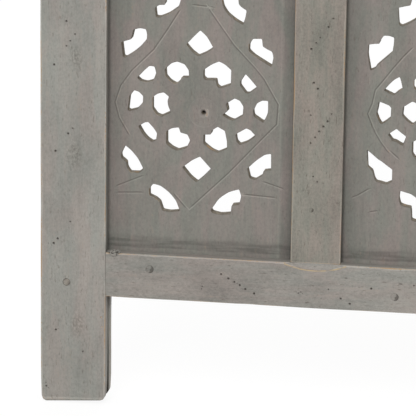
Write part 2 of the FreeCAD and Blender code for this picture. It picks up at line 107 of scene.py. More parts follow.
# %% [markdown]
# The same few hand moves come back in every piece: pick one piece alone, pick its long edges, add a block and join
# pieces. They are kept as small helpers, because an operator acts on all that is selected.

# %% Bench helpers
def alone(piece):
    """Selects one piece and nothing else."""
    bpy.ops.object.select_all(action="DESELECT")
    piece.select_set(True)
    bpy.context.view_layer.objects.active = piece


def pick_edges(piece, axis, longer):
    """In edit mode, selects the edges that run further than this along an axis."""
    bpy.ops.mesh.select_mode(type="EDGE")
    bpy.ops.mesh.select_all(action="DESELECT")
    work = bmesh.from_edit_mesh(piece.data)
    for edge in work.edges:
        if abs(edge.verts[0].co[axis] - edge.verts[1].co[axis]) > longer:
            edge.select = True
    work.select_flush_mode()
    bmesh.update_edit_mesh(piece.data, loop_triangles=False, destructive=False)


def block(name, low, high):
    """A cube added at its size and place."""
    low, high = Vector(low), Vector(high)
    bpy.ops.object.select_all(action="DESELECT")
    bpy.ops.mesh.primitive_cube_add(size=1, location=(low + high) / 2, scale=high - low)
    piece = bpy.context.object
    piece.name = name
    bpy.ops.object.transform_apply(location=True, rotation=True, scale=True)
    return piece


def joined(pieces):
    alone(pieces[0])
    for piece in pieces[1:]:
        piece.select_set(True)
    if len(pieces) > 1:
        bpy.ops.object.join()
    return pieces[0]


# %% [markdown]
# Joinery is taking a tool's shape out of a piece or adding it. Round tools and pieces are turned like on a lathe,
# from a profile of radii and distances.

# %% Cutting and turning
def combined(piece, tools, operation):
    """Takes the tools' shapes out of a piece or adds them to it, and clears the tools away."""
    tool = joined(tools)
    alone(piece)
    change = piece.modifiers.new("change", "BOOLEAN")
    change.operation = operation
    change.solver = "EXACT"
    change.object = tool
    bpy.ops.object.modifier_apply(modifier=change.name)
    piece.data.materials.clear()
    bpy.data.objects.remove(tool)


def cut(piece, *tools):
    combined(piece, tools, "DIFFERENCE")


def union(piece, *tools):
    combined(piece, tools, "UNION")


def turned(name, profile, sides, place):
    """A round piece: a disc drawn up ring by ring through (radius, distance) steps, then laid to face along y."""
    bpy.ops.object.select_all(action="DESELECT")
    bpy.ops.mesh.primitive_circle_add(vertices=sides, radius=profile[0][0], fill_type="NGON")
    piece = bpy.context.object
    piece.name = name
    bpy.ops.object.mode_set(mode="EDIT")
    bpy.ops.mesh.select_all(action="SELECT")
    for (radius_before, z_before), (radius, z) in zip(profile, profile[1:]):
        bpy.ops.mesh.extrude_region_move(TRANSFORM_OT_translate={"value": (0, 0, z - z_before)})
        grow = radius / radius_before
        bpy.ops.transform.resize(value=(grow, grow, 1), center_override=(0, 0, z))
    bpy.ops.mesh.select_all(action="SELECT")
    bpy.ops.mesh.normals_make_consistent(inside=False)
    bpy.ops.object.mode_set(mode="OBJECT")
    heading = Vector((0, 1, 0)).to_track_quat("Z", "Y").to_matrix().to_4x4()
    piece.matrix_world = Matrix.Translation(Vector(place)) @ heading
    bpy.ops.object.transform_apply(location=True, rotation=True, scale=True)
    return piece


def copied(piece, place):
    """A copy with its own mesh, moved by a way."""
    twin = piece.copy()
    twin.data = piece.data.copy()
    bpy.context.scene.collection.objects.link(twin)
    twin.data.transform(Matrix.Translation(Vector(place)))
    return twin


def bisected(piece, heights):
    """Draws a ring round a piece at each of these heights."""
    alone(piece)
    bpy.ops.object.mode_set(mode="EDIT")
    for height in heights:
        bpy.ops.mesh.select_all(action="SELECT")
        bpy.ops.mesh.bisect(plane_co=(0, 0, height), plane_no=(0, 0, 1))
    bpy.ops.object.mode_set(mode="OBJECT")


def linked(name, data):
    made = bpy.data.objects.new(name, data)
    bpy.context.scene.collection.objects.link(made)
    return made


def make_all(make, *kinds):
    """Makes each kind of a piece for every leaf, and prints what was made."""
    for leaf in LEAVES:
        for kind in kinds:
            made = make(leaf, kind)
            print(made.name, len(made.data.vertices), "points")


print("helpers ready")

# %% [markdown]
# The wash is a thin warm grey paint, wiped on along the grain. Seen close, it has broad cool and pinkish streaks,
# fine hair-like streaks and short dark pores, and on the arrises it is rubbed through to tan wood. All of this
# follows the grain, so each piece carries its own grain coordinates in metres as an attribute: the third one runs
# along the wood. A second attribute says where the wood is rubbed bare (up to 1), and where it is dirty and carries
# painted shade (down to -1).

# %% Shader helpers
def add_node(tree, kind, settings=(), inputs=()):
    """A shader node with its settings and inputs. An input is a value, or the output of another node."""
    made = tree.nodes.new(kind)
    for name, value in dict(settings).items():
        setattr(made, name, value)
    for name, value in dict(inputs).items():
        if isinstance(value, bpy.types.NodeSocket):
            tree.links.new(value, made.inputs[name])
        else:
            made.inputs[name].default_value = value
    return made


def sums(tree, operation, first, second=0.0, third=None):
    inputs = {0: first, 1: second}
    if third is not None:
        inputs[2] = third
    return add_node(tree, "ShaderNodeMath", {"operation": operation}, inputs).outputs[0]


def read(tree, name, output="Fac"):
    return add_node(tree, "ShaderNodeAttribute", {"attribute_name": name}).outputs[output]


def streaks(tree, grain, across, stretch, detail=3.0, rough=0.55, warp=0.0):
    """Noise drawn out along the grain. The first number is how many changes there are in a metre."""
    drawn = add_node(tree, "ShaderNodeMapping", {}, {"Vector": grain, "Scale": (1, 1, stretch)}).outputs[0]
    settings = {"Vector": drawn, "Scale": across, "Detail": detail, "Roughness": rough, "Distortion": warp}
    return add_node(tree, "ShaderNodeTexNoise", {}, settings).outputs["Fac"]


def spread(tree, value, low, high, to_low=0.0, to_high=1.0):
    """Moves a range of values to another range, eased at both ends."""
    return add_node(tree, "ShaderNodeMapRange", {"interpolation_type": "SMOOTHSTEP"},
                    {"Value": value, "From Min": low, "From Max": high, "To Min": to_low,
                     "To Max": to_high}).outputs[0]


def blended(tree, share, under, over, way="MIX"):
    mixed = add_node(tree, "ShaderNodeMix", {"data_type": "RGBA", "blend_type": way})
    for socket, value in ((mixed.inputs[0], share), (mixed.inputs[6], under), (mixed.inputs[7], over)):
        if isinstance(value, bpy.types.NodeSocket):
            tree.links.new(value, socket)
        else:
            socket.default_value = value
    return mixed.outputs[2]


def paint(red, green, blue):
    """A colour given as 0 to 255, as the linear numbers that the shader takes."""
    def linear(c):
        c /= 255
        return c / 12.92 if c <= 0.04045 else ((c + 0.055) / 1.055) ** 2.4
    return (linear(red), linear(green), linear(blue), 1)


def new_material(name):
    material = bpy.data.materials.new(name)
    material.use_nodes = True
    return material, material.node_tree, material.node_tree.nodes["Principled BSDF"]


def raise_surface(tree, shader, height, strength, distance):
    bump = add_node(tree, "ShaderNodeBump", {}, {"Height": height, "Strength": strength, "Distance": distance})
    tree.links.new(bump.outputs[0], shader.inputs["Normal"])


BARE_WOOD = paint(168, 138, 104)
# The dark colour below paints both dirt and painted shade in hollows, beside joints and on sides turned from the light.
DIRT_AND_SHADE = paint(50, 44, 38)

# %% [markdown]
# One recipe makes the wash of every wooden piece, with its own two colours. It could be one noise over one colour,
# but the real wash has several things at once, each with its own size: broad cool and pinkish patches, thin streaks,
# fine mottle in every direction, short dark pores, knots that show through, and on the boards dark bands where the
# sander did not reach, deepened by painted shade from the frame. So each gets its own noise, and all are drawn out
# along the grain by a different amount.

# %% The washed wood
def as_grey(tree, value):
    return add_node(tree, "ShaderNodeCombineColor", {}, {0: value, 1: value, 2: value}).outputs[0]


def knot_mask(tree, grain, places):
    """1 in the middle of a knot, fading out round it. Places are in grain space, as (across, along, radius)."""
    parts = add_node(tree, "ShaderNodeSeparateXYZ", {}, {0: grain})
    mask = None
    for across, along, radius in places:
        side = sums(tree, "SUBTRACT", parts.outputs[0], across)
        run = sums(tree, "MULTIPLY", sums(tree, "SUBTRACT", parts.outputs[2], along), 0.55)
        far = sums(tree, "ADD", sums(tree, "MULTIPLY", side, side), sums(tree, "MULTIPLY", run, run))
        far = sums(tree, "SQRT", far)
        here = spread(tree, far, radius * 0.25, radius, 1, 0)
        mask = here if mask is None else sums(tree, "MAXIMUM", mask, here)
    return mask


def strewn_knots(tree, grain):
    """Knots strewn by chance, one in every third cell or so, and longer along the grain."""
    flat = add_node(tree, "ShaderNodeMapping", {}, {"Vector": grain, "Scale": (1, 0.25, 0.42)}).outputs[0]
    cells = add_node(tree, "ShaderNodeTexVoronoi", {"feature": "F1"}, {"Vector": flat, "Scale": 15.0})
    chance = add_node(tree, "ShaderNodeSeparateColor", {}, {0: cells.outputs["Color"]}).outputs[0]
    near = spread(tree, cells.outputs["Distance"], 0.03, 0.12, 1, 0)
    return sums(tree, "MULTIPLY", near, spread(tree, chance, 0.60, 0.62))


def glaze_and_shading_bands(tree, grain, broad):
    """The strips beside the frame are darker: glaze left where the sander could not reach, with streaks of its own, and
    painted shade from the frame, darkest in thin lines at the joints and in the lower right corner, with a thin painted
    highlight along the step on the right.
    """
    edges = add_node(tree, "ShaderNodeSeparateColor", {}, {0: read(tree, "edges", "Color")})
    left, right, bottom = edges.outputs[0], edges.outputs[1], edges.outputs[2]
    top = read(tree, "edges", "Alpha")
    drawn = add_node(tree, "ShaderNodeMapping", {}, {"Vector": grain, "Scale": (0.10, 1, 1)}).outputs[0]
    smear = add_node(tree, "ShaderNodeTexNoise", {}, {"Vector": drawn, "Scale": 420.0, "Detail": 3.0}).outputs["Fac"]
    wander = sums(tree, "MULTIPLY", sums(tree, "SUBTRACT", broad, 0.5), 10 * MM)

    def moved(edge, share):
        return sums(tree, "MULTIPLY_ADD", wander, share, edge)

    bands = spread(tree, moved(left, 0.6), 13 * MM, 19 * MM, 0.91, 1.0)
    for edge, low, high, dark in ((left, 0.0, 13 * MM, 0.90), (left, 0.0, 2.4 * MM, 0.58),
                                  (moved(right, 0.25), 7.4 * MM, 8.8 * MM, 0.87), (right, 0.0, 7 * MM, 0.84),
                                  (right, 0.0, 1.6 * MM, 0.75), (top, 0.0, 9 * MM, 0.84)):
        bands = sums(tree, "MULTIPLY", bands, spread(tree, edge, low, high, dark, 1.0))
    line = sums(tree, "MULTIPLY", spread(tree, right, 8.8 * MM, 9.6 * MM), spread(tree, right, 9.8 * MM, 11 * MM, 1, 0))
    bands = sums(tree, "MULTIPLY", bands, sums(tree, "MULTIPLY_ADD", line, 0.10, 1.0))
    low = moved(bottom, 0.25)
    band = sums(tree, "MULTIPLY", spread(tree, low, 2.2 * MM, 3.6 * MM), spread(tree, low, 8 * MM, 13 * MM, 1, 0))
    depth = spread(tree, smear, 0.38, 0.62, 0.14, 0.34)
    bands = sums(tree, "MULTIPLY", bands, sums(tree, "SUBTRACT", 1.0, sums(tree, "MULTIPLY", band, depth)))
    corner = sums(tree, "MULTIPLY", spread(tree, right, 0.0, 12 * MM, 1, 0), spread(tree, bottom, 0.0, 38 * MM, 1, 0))
    return sums(tree, "MULTIPLY", bands, sums(tree, "MULTIPLY_ADD", corner, -0.24, 1.0))


# %% [markdown]
# The wash itself puts these together: two colours in broad patches, a tone that every noise nudges, and then
# cracks, thin places, bare wood, and dirt with painted shade laid over it one by one. A little wear only makes the
# tone lighter, which is how the bottom of a scribed line looks, and on the foot's back lip it is painted light. More
# wear shows the bare wood.

# %% The wash and its colours
def washed_wood(name, cool, warm, contrast=1.0, banded=False, knots=()):
    """Grey wash over wood. The two colours are those of its cool and warm patches."""
    material, tree, shader = new_material(name)
    grain = read(tree, "grain", "Vector")
    wear = read(tree, "wear")
    broad = streaks(tree, grain, 62, 0.26, 3, 0.6, 0.8)
    fine = streaks(tree, grain, 430, 0.07, 4, 0.7)
    hair = streaks(tree, grain, 1300, 0.05, 3, 0.65)
    cloud = streaks(tree, grain, 30, 0.45, 5, 0.62, 0.5)
    grit = streaks(tree, grain, 640, 0.75, 3, 0.7)
    pores = streaks(tree, grain, 820, 0.24, 2, 0.6)
    knot = knot_mask(tree, grain, knots) if knots else strewn_knots(tree, grain)
    colour = blended(tree, spread(tree, broad, 0.32, 0.68), cool, warm)
    tone = 1.0
    for value, amount in ((fine, 0.30), (hair, 0.20), (cloud, 0.66), (grit, 0.58), (broad, 0.10)):
        tone = sums(tree, "MULTIPLY_ADD", sums(tree, "SUBTRACT", value, 0.5), amount * contrast, tone)
    swirl = sums(tree, "MULTIPLY", sums(tree, "SUBTRACT", grit, 0.56), knot)
    tone = sums(tree, "MULTIPLY_ADD", swirl, 1.1, tone)
    # A small positive value lightens the tone; on the foot's back lip this is painted light.
    tone = sums(tree, "ADD", tone, spread(tree, wear, 0.02, 0.24, 0, 0.44))
    if banded:
        # On a board the tone is darkened beside the frame: glaze, and painted shade from the frame, with a thin painted
        # highlight.
        tone = sums(tree, "MULTIPLY", tone, glaze_and_shading_bands(tree, grain, broad))
    colour = blended(tree, 1.0, colour, as_grey(tree, tone), "MULTIPLY")
    cracks = spread(tree, pores, 0.62, 0.73)
    colour = blended(tree, sums(tree, "MULTIPLY", cracks, 0.42 * contrast), colour, paint(92, 82, 72))
    thin = sums(tree, "MULTIPLY", spread(tree, sums(tree, "ADD", fine, grit), 1.10, 1.32), 0.22)
    thin = sums(tree, "MAXIMUM", thin, sums(tree, "MULTIPLY", knot, 0.08))
    colour = blended(tree, thin, colour, paint(138, 116, 98))
    mottle = sums(tree, "SUBTRACT", sums(tree, "ADD", fine, grit), 1.0)
    rub = sums(tree, "MULTIPLY_ADD", mottle, 1.1, wear)
    colour = blended(tree, spread(tree, rub, 0.32, 0.66, 0, 0.85), colour, BARE_WOOD)
    # Low values darken the wash towards the dark colour: dirt, and painted shade in hollows and beside joints.
    dirt_and_shade = sums(tree, "MULTIPLY_ADD", mottle, 0.25, sums(tree, "MULTIPLY", wear, -1.0))
    colour = blended(tree, spread(tree, dirt_and_shade, 0.06, 0.80, 0, 0.9), colour, DIRT_AND_SHADE)
    tree.links.new(colour, shader.inputs["Base Color"])
    tree.links.new(sums(tree, "MULTIPLY_ADD", fine, 0.22, 0.58), shader.inputs["Roughness"])
    height = sums(tree, "MULTIPLY_ADD", hair, 0.35, sums(tree, "MULTIPLY_ADD", grit, 0.6, fine))
    height = sums(tree, "SUBTRACT", height, sums(tree, "MULTIPLY", cracks, 0.6))
    raise_surface(tree, shader, height, 0.45, 0.3 * MM)
    shader.inputs["Specular IOR Level"].default_value = 0.25
    return material


# %% [markdown]
# Two more finishes are simple ones: the brown walls of the saw cuts, and the thin lip of the scooped hollow in each
# rail, where the wash is rubbed off. After them come all the woods of the screen.

# %% Sawn walls, rubbed lips and the list of woods
def sawn_wood(name):
    """The cut walls of the holes: brown wood with a little wash that has run in."""
    material, tree, shader = new_material(name)
    grain = read(tree, "grain", "Vector")
    marks = streaks(tree, grain, 420, 0.35, 3, 0.6)
    cloud = streaks(tree, grain, 90, 0.8, 3, 0.6)
    colour = blended(tree, spread(tree, marks, 0.35, 0.70), paint(108, 99, 87), paint(142, 134, 118))
    colour = blended(tree, spread(tree, cloud, 0.61, 0.73), colour, paint(162, 134, 100))
    tree.links.new(colour, shader.inputs["Base Color"])
    shader.inputs["Roughness"].default_value = 0.8
    shader.inputs["Specular IOR Level"].default_value = 0.2
    raise_surface(tree, shader, marks, 0.5, 0.3 * MM)
    return material


def rubbed_lip(name):
    """A thin edge where the wash is rubbed off in most places."""
    material, tree, shader = new_material(name)
    breaks = streaks(tree, read(tree, "grain", "Vector"), 260, 0.5, 3, 0.7)
    colour = blended(tree, spread(tree, breaks, 0.34, 0.56), paint(142, 134, 124), paint(176, 156, 124))
    tree.links.new(colour, shader.inputs["Base Color"])
    shader.inputs["Roughness"].default_value = 0.7
    raise_surface(tree, shader, breaks, 0.3, 0.2 * MM)
    return material


WOODS = {
    "stile_wood": washed_wood("stile_wash", paint(146, 146, 140), paint(151, 145, 139)),
    "rail_wood": washed_wood("rail_wash", paint(144, 143, 137), paint(150, 143, 137), 1.3),
    "muntin_wood": washed_wood("muntin_wash", paint(134, 133, 124), paint(142, 133, 125), 1.4),
    "board_wood": washed_wood("board_wash", paint(129, 129, 122), paint(137, 129, 124), 0.85, banded=True),
    "peg_wood": washed_wood("peg_wash", paint(140, 136, 128), paint(143, 134, 124)),
}
LIP = rubbed_lip("rubbed_lip")
CUT_WALL = sawn_wood("sawn_hole_walls")
print("finishes:", ", ".join(material.name for material in WOODS.values()))

# %% [markdown]
# A finished piece needs the same last steps: its grain attribute, its finish, its turn into the room, the body
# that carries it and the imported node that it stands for. The turn goes into the mesh, so that the object itself
# stays at the origin.

# %% The last steps of a piece
def grain_shift(name):
    """Where a piece's grain starts, so that no two pieces look alike."""
    luck = random.Random(name)
    return [luck.uniform(-4, 4) for _ in range(3)]


def write_values(piece, name, kind, values):
    layer = piece.data.attributes.new(name, kind, "POINT")
    field = {"FLOAT": "value", "FLOAT_VECTOR": "vector", "FLOAT_COLOR": "color"}[kind]
    flat = [number for value in values for number in value] if kind != "FLOAT" else values
    layer.data.foreach_set(field, flat)


def set_in_place(piece, leaf, nodes, slot, along, wear, smooth, finishes=None):
    """Gives a piece its grain and finish, and stands it in its leaf. Along is the axis of its grain, and smooth is
    the sharpest corner, in degrees, that is shaded as round."""
    shift = grain_shift(piece.name)
    order = {0: (1, 2, 0), 1: (0, 2, 1), 2: (0, 1, 2)}[along]
    points = [vertex.co for vertex in piece.data.vertices]
    write_values(piece, "grain", "FLOAT_VECTOR",
                 [tuple(p[order[i]] + shift[i] for i in range(3)) for p in points])
    write_values(piece, "wear", "FLOAT", wear)
    kinds = [face.material_index for face in piece.data.polygons]
    piece.data.materials.clear()
    for finish in finishes or [WOODS[slot]]:
        piece.data.materials.append(finish)
    piece.data.polygons.foreach_set("material_index", kinds)
    alone(piece)
    bpy.ops.object.shade_smooth_by_angle(angle=math.radians(smooth))
    rounded = [max(abs(part) for part in face.normal) < 0.9999 for face in piece.data.polygons]
    piece.data.polygons.foreach_set("use_smooth", rounded)
    piece.matrix_world = LEAVES[leaf]
    bpy.ops.object.transform_apply(location=True, rotation=True, scale=True)
    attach(piece, leaf)
    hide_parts(*nodes)
    return piece


# %% [markdown]
# A frame member starts as a cube of its true size. Rings are cut across it, the four long arrises are bevelled,
# and then each arris is worn by a different amount along its length, because hands and feet rub some places more.
# Where a joint protects the arris it stays sharp. The bevel's middle vertices also carry the rubbed-bare value.

# %% Frame members
ARRIS = 1.5 * MM
RING_GAP = 6 * MM
ON_FACE = 0.02 * MM


def member(name, low, high):
    """A plank with rings across it and its four long arrises bevelled. Returns it and its long axis."""
    low, high = Vector(low), Vector(high)
    long = max(range(3), key=lambda axis: high[axis] - low[axis])
    piece = block(name, low, high)
    bpy.ops.object.mode_set(mode="EDIT")
    pick_edges(piece, long, 1 * MM)
    bpy.ops.mesh.subdivide(number_cuts=int((high[long] - low[long]) / RING_GAP))
    pick_edges(piece, long, 0.1 * MM)
    bpy.ops.mesh.bevel(offset=ARRIS, segments=3, affect="EDGES")
    bpy.ops.object.mode_set(mode="OBJECT")
    return piece, long


def wear_arrises(piece, low, high, long, sharp, least=lambda corner: 0.12):
    """Wears each long arris unevenly. sharp(where, corner) scales it, and least(corner) is the smallest it may be.
    A corner is named by the two signs of its cross axes, such as (-1, 1)."""
    cross = [axis for axis in range(3) if axis != long]
    seed = Vector([random.Random(piece.name).uniform(0, 90)] * 3)
    for vertex in piece.data.vertices:
        corner, offset = [], []
        for axis in cross:
            side = -1 if vertex.co[axis] - low[axis] < high[axis] - vertex.co[axis] else 1
            edge = low[axis] if side < 0 else high[axis]
            corner.append(side)
            offset.append(vertex.co[axis] - edge)
        if max(abs(offset[0]), abs(offset[1])) > ARRIS * 1.01:
            continue
        where = vertex.co[long]
        at = Vector((where * 22, corner[0] * 7.0, corner[1] * 13.0)) + seed
        chipped = max(0.0, noise.noise(at * 3.1) - 0.25)
        amount = (0.75 + 0.75 * noise.noise(at) + 1.2 * chipped) * sharp(where, tuple(corner))
        amount = min(max(amount, least(tuple(corner))), 2.2)
        for axis, away in zip(cross, offset):
            edge = vertex.co[axis] - away
            vertex.co[axis] = edge + away * amount


# %% [markdown]
# The same corners get their colour from one number for each vertex. It is high where hands and feet rub the wash
# off, low inside grooves, pits and sockets, where it paints dirt and the shade of the hollow, and nothing on the flat
# faces, but for the faces beside joints that get painted shade and dirt.

# %% Rubbed, dirty and shaded places of a member
def arris_values(piece, low, high, long, rub, dark=()):
    """The rubbed-bare value of every vertex: high on the worn arrises, low inside cuts and pits for dirt and painted
    shade, else nothing. Dark lists the faces that are painted darker for dirt and shade, as (axis, level, value at the
    arris, value at the groove)."""
    cross = [axis for axis in range(3) if axis != long]
    seed = Vector([random.Random(piece.name + "rub").uniform(0, 90)] * 3)
    values = []
    for vertex in piece.data.vertices:
        inset = [min(vertex.co[axis] - low[axis], high[axis] - vertex.co[axis]) for axis in cross]
        sides = tuple(-1 if vertex.co[axis] - low[axis] < high[axis] - vertex.co[axis] else 1 for axis in cross)
        least, most = min(inset), max(inset)
        where = vertex.co[long]
        if least < ON_FACE:
            value = 0.0
            # Faces listed in dark are painted darker near a joint, for dirt and painted shade.
            for axis, level, near, far in dark:
                if abs(vertex.co[axis] - level) < ON_FACE and most < 23 * MM:
                    value = far if most > 5 * MM else near
            values.append(value)
        elif most < 3.4 * MM:
            at = Vector((where * 30, sides[0] * 5.0, sides[1] * 11.0)) + seed
            worn = rub(where, sides)
            values.append(min(1.0, max(0.0 if worn > 0 else -0.9, worn + 0.55 * noise.noise(at))))
        else:
            # Deeper inside a cut, pit or socket is darker: dirt and painted shade of the hollow.
            values.append(-min(0.8, least / (1.1 * MM)))
    return values


# %% [markdown]
# Cutting a hundred small marks or holes out of a flat face leaves it in tangled pieces. So a perforated flat face
# is made the other way round: the pits, dishes and saw cuts are made first, with their rims in the face, and then
# the face is filled with triangles between the rims.

# %% Flat faces with holes
EXACTLY = 0.001 * MM


def lies_on(part, level):
    """Whether an edge or a face lies in the plane of constant y at this level."""
    return all(abs(vertex.co.y - level) < EXACTLY for vertex in part.verts)


def split_rims(work, rims, points, sources, edges, on_rims):
    """Where a scribed line runs into a hole, its crossing with the rim becomes a point of the rim as well."""
    crossings, at = {}, {}
    for edge, numbers in zip(edges, on_rims):
        for number in numbers:
            crossings.setdefault(number, set()).update(spot for spot in edge if not sources[spot])
    for number, spots in crossings.items():
        edge = rims[number]
        start, end = edge.verts
        for spot in sorted(spots, key=lambda spot: (points[spot] - start.co.xz).length):
            share = (points[spot] - start.co.xz).length / edge.calc_length()
            at[spot] = bmesh.utils.edge_split(edge, start, share)[1]
            start = at[spot]
            edge = next(part for part in start.link_edges if end in part.verts)
    return at


def between_rims(points, triangles, rims):
    """Which triangles lie between the rims: a ray from the middle of such a one crosses an odd number of them."""
    x, z = numpy.array([sum((points[spot] for spot in around), Vector((0, 0))) / 3 for around in triangles]).T
    crossed = numpy.zeros(len(x), dtype=int)
    for edge in rims:
        (x1, z1), (x2, z2) = (vertex.co.xz for vertex in edge.verts)
        if z1 != z2:
            crossed += ((z1 > z) != (z2 > z)) & (x < x1 + (x2 - x1) * (z - z1) / (z2 - z1))
    return dict(enumerate(bool(count % 2) for count in crossed))


def inside_out(triangles, walls):
    """Which triangles are wood: the one at point 0 is, and each rim that is crossed changes wood to air and back."""
    beside = {}
    for place, around in enumerate(triangles):
        for edge in zip(around, around[1:] + around[:1]):
            beside.setdefault(frozenset(edge), []).append(place)
    start = next(place for place, around in enumerate(triangles) if 0 in around)
    wood, queue = {start: True}, [start]
    while queue:
        place = queue.pop()
        around = triangles[place]
        for edge in map(frozenset, zip(around, around[1:] + around[:1])):
            for other in beside[edge]:
                if other not in wood:
                    wood[other] = wood[place] != (edge in walls)
                    queue.append(other)
    return wood


# %% [markdown]
# The triangles come from a Delaunay triangulation that keeps every rim. Triangles between the rims are wood. A
# scribed line is drawn into them as rows of edges, so its middle can be pressed in afterwards.

# %% Filling a flat face
def fill_flat(work, level, corners=(), scribing=None):
    """Fills a flat face anew with triangles, between its rims and four new corners, or between its rims alone."""
    bmesh.ops.delete(work, geom=[face for face in work.faces if lies_on(face, level)], context="FACES")
    rims = [edge for edge in work.edges if len(edge.link_faces) == 1 and lies_on(edge, level)]
    spots = list(corners) or [None] * 4
    spots += list({vertex: None for edge in rims for vertex in edge.verts})
    number = {vertex: place for place, vertex in enumerate(spots)}
    given = [(0, 1), (1, 2), (2, 3), (3, 0)] + [tuple(number[vertex] for vertex in edge.verts) for edge in rims]
    outlines = len(given)
    around_all = [Vector(corner) for corner in ((-1, -1), (2, -1), (2, 3), (-1, 3))]
    flat = [vertex.co.xz if vertex else around_all[place] for place, vertex in enumerate(spots)]
    for line in scribing.lines if scribing else ():
        for drawn in [line] + line_sides(line, LINE_HALF) + line_sides(line, 2.1 * LINE_HALF):
            given += [(len(flat) + step, len(flat) + step + 1) for step in range(len(drawn) - 1)]
            flat += drawn
    points, edges, triangles, sources, edge_sources, _ = delaunay_2d_cdt(flat, given, [], 0, 1e-7)
    walls = {frozenset(edge) for edge, source in zip(edges, edge_sources) if any(n < outlines for n in source)}
    wood = inside_out(triangles, walls) if corners else between_rims(points, triangles, rims)
    needed = {spot for place, around in enumerate(triangles) if wood[place] for spot in around}
    at = split_rims(work, rims, points, sources, edges, [[n - 4 for n in source if 4 <= n < outlines]
                                                         for source in edge_sources])
    for spot in needed - set(at):
        own = [source for source in sources[spot] if source < len(spots)]
        at[spot] = spots[own[0]] if own else work.verts.new((points[spot].x, level, points[spot].y))
    for place, around in enumerate(triangles):
        if wood[place]:
            work.faces.new([at[spot] for spot in around])
    if scribing:
        for vertex in at.values():
            vertex.co.y += scribing.depth(vertex.co.xz)


def finished(work, piece):
    """Turns the faces outward and hands the mesh back. Returns the number of open edges, which should be none."""
    bmesh.ops.recalc_face_normals(work, faces=work.faces)
    opened = sum(len(edge.link_faces) != 2 for edge in work.edges)
    work.to_mesh(piece.data)
    work.free()
    return opened


print("flat faces can be filled")

# %% [markdown]
# The wood is distressed on purpose: short slanting rows of nail-point dots and a few gouges, and here and there a
# filled plug. Each dot is a small round pit with a real depth, because a painted dot has no shadow. One pit and
# one plug are turned once and copied. A gouge is a pit drawn out along the wood.

# %% Pits, gouges and plugs
PIT = turned("pit", [(0.92 * MM, 0), (0.80 * MM, 0.15 * MM), (0.60 * MM, 0.42 * MM), (0.30 * MM, 0.62 * MM)],
             8, (0, 0, 0))
PLUG = turned("plug", [(3.05 * MM, 0), (2.85 * MM, 0.26 * MM), (2.6 * MM, 0.28 * MM), (2.4 * MM, 0.05 * MM),
                       (0.8 * MM, 0.07 * MM)], 20, (0, 0, 0))
for tool in (PIT, PLUG):
    tool.hide_render = True


def flat_outline(piece, level):
    """The rims of a flat face of constant y, as pairs of (x, z) points."""
    work = bmesh.new()
    work.from_mesh(piece.data)
    flat = {face for face in work.faces if lies_on(face, level)}
    rims = [tuple(vertex.co.xz for vertex in edge.verts) for edge in work.edges
            if sum(face in flat for face in edge.link_faces) == 1]
    work.free()
    return rims


def too_near(spot, radius, rims):
    for start, end in rims:
        if (min(start.x, end.x) - radius < spot.x < max(start.x, end.x) + radius
                and min(start.y, end.y) - radius < spot.y < max(start.y, end.y) + radius):
            foot, share = intersect_point_line(spot, start, end)
            foot = foot.xy if 0 < share < 1 else start if share <= 0 else end
            if (foot - spot).length < radius:
                return True
    return False


# %% [markdown]
# Marks are set on one flat face at a time, and one that would touch another is left out, because two rims that
# cross can't be filled round. Each rim is checked against the ones before it and against the face's own outline.

# %% Setting the marks
PLUG_RADIUS = 3.1
PIT_RADIUS = 0.95


def marks_on(piece, level, facing, dots, luck, dashes=(), plugs=()):
    """The marks on a flat face. A dot is (x, z) in millimetres, and may have its own size. A mark that would touch
    an earlier one or the face's rim is left out."""
    tools, taken, rims = [], [], flat_outline(piece, level)
    for kind, places in (("plug", plugs), ("dash", dashes), ("dot", dots)):
        for x, z, *own in places:
            size = own[0] if own else 1.0 if kind == "plug" else luck.uniform(0.9, 1.25)
            shape = Matrix.Diagonal((size, facing * size, size, 1))
            radius = size * (PLUG_RADIUS if kind == "plug" else PIT_RADIUS)
            if kind == "dash":
                radius = luck.uniform(1.8, 2.8)
                shape = Matrix.Rotation(luck.uniform(-0.4, 0.4), 4, "Y") @ Matrix.Diagonal(
                    (radius, 0.7 * facing, luck.uniform(0.6, 1.1), 1))
            if any(math.dist((x, z), other[:2]) < radius + other[2] + 0.05 for other in taken):
                continue
            if too_near(Vector((x, z)) * MM, (radius + 0.1) * MM, rims):
                continue
            taken.append((x, z, radius))
            tool = copied(PLUG if kind == "plug" else PIT, (0, 0, 0))
            tool.data.transform(Matrix.Translation((x * MM, level, z * MM)) @ shape)
            tools.append(tool)
    return tools


def plug_values(piece, level, plugs, values):
    """A plug is a little dirty, with painted shade in a crescent on its lower right side."""
    for x, z, *own in plugs:
        size = own[0] if own else 1.0
        for number, vertex in enumerate(piece.data.vertices):
            way = (vertex.co.xz - Vector((x, z)) * MM) / (size * MM)
            if way.length < 3.0 and 0.01 * MM < vertex.co.y - level < 0.4 * MM:
                # The crescent on the lower right, away from the light, is painted shade; the rest is a little dirt.
                values[number] = -0.52 if way.x - 0.4 * way.y > 0.5 else -0.22


def marked(piece, marks, levels):
    """Joins the marks to a piece and fills its flat faces anew round them."""
    joined([piece] + marks)
    work = bmesh.new()
    work.from_mesh(piece.data)
    for level in levels:
        fill_flat(work, level)
    return finished(work, piece)


def dot_rows(luck, low_x, high_x, low_z, high_z, rows):
    """Slanting rows of five to seven dots, as one blow after another leaves them."""
    dots = []
    for _ in range(rows):
        x, z = luck.uniform(low_x, high_x), luck.uniform(low_z, high_z)
        step_x, step_z = luck.choice((-1, 1)) * luck.uniform(2.2, 4.2), luck.uniform(3.2, 6.0)
        if high_z - low_z < 40:
            step_x, step_z = step_x * 1.4, luck.uniform(1.6, 3.0)
        for _ in range(luck.randint(4, 7)):
            if low_x < x < high_x and low_z < z < high_z:
                dots.append((x + luck.uniform(-0.5, 0.5), z + luck.uniform(-0.6, 0.6)))
            x, z = x + step_x, z + step_z
    return dots


print("marking tools:", len(PIT.data.vertices), "and", len(PLUG.data.vertices), "points")

# %% [markdown]
# The stiles run to the floor and end as the feet. Their lower corners are rubbed round and cut a little out of
# square. Each has the board groove down its whole inner edge, which is why a dark slot shows in the foot, and
# each has sockets for the rails and shallow seats where hinge plates are let in.

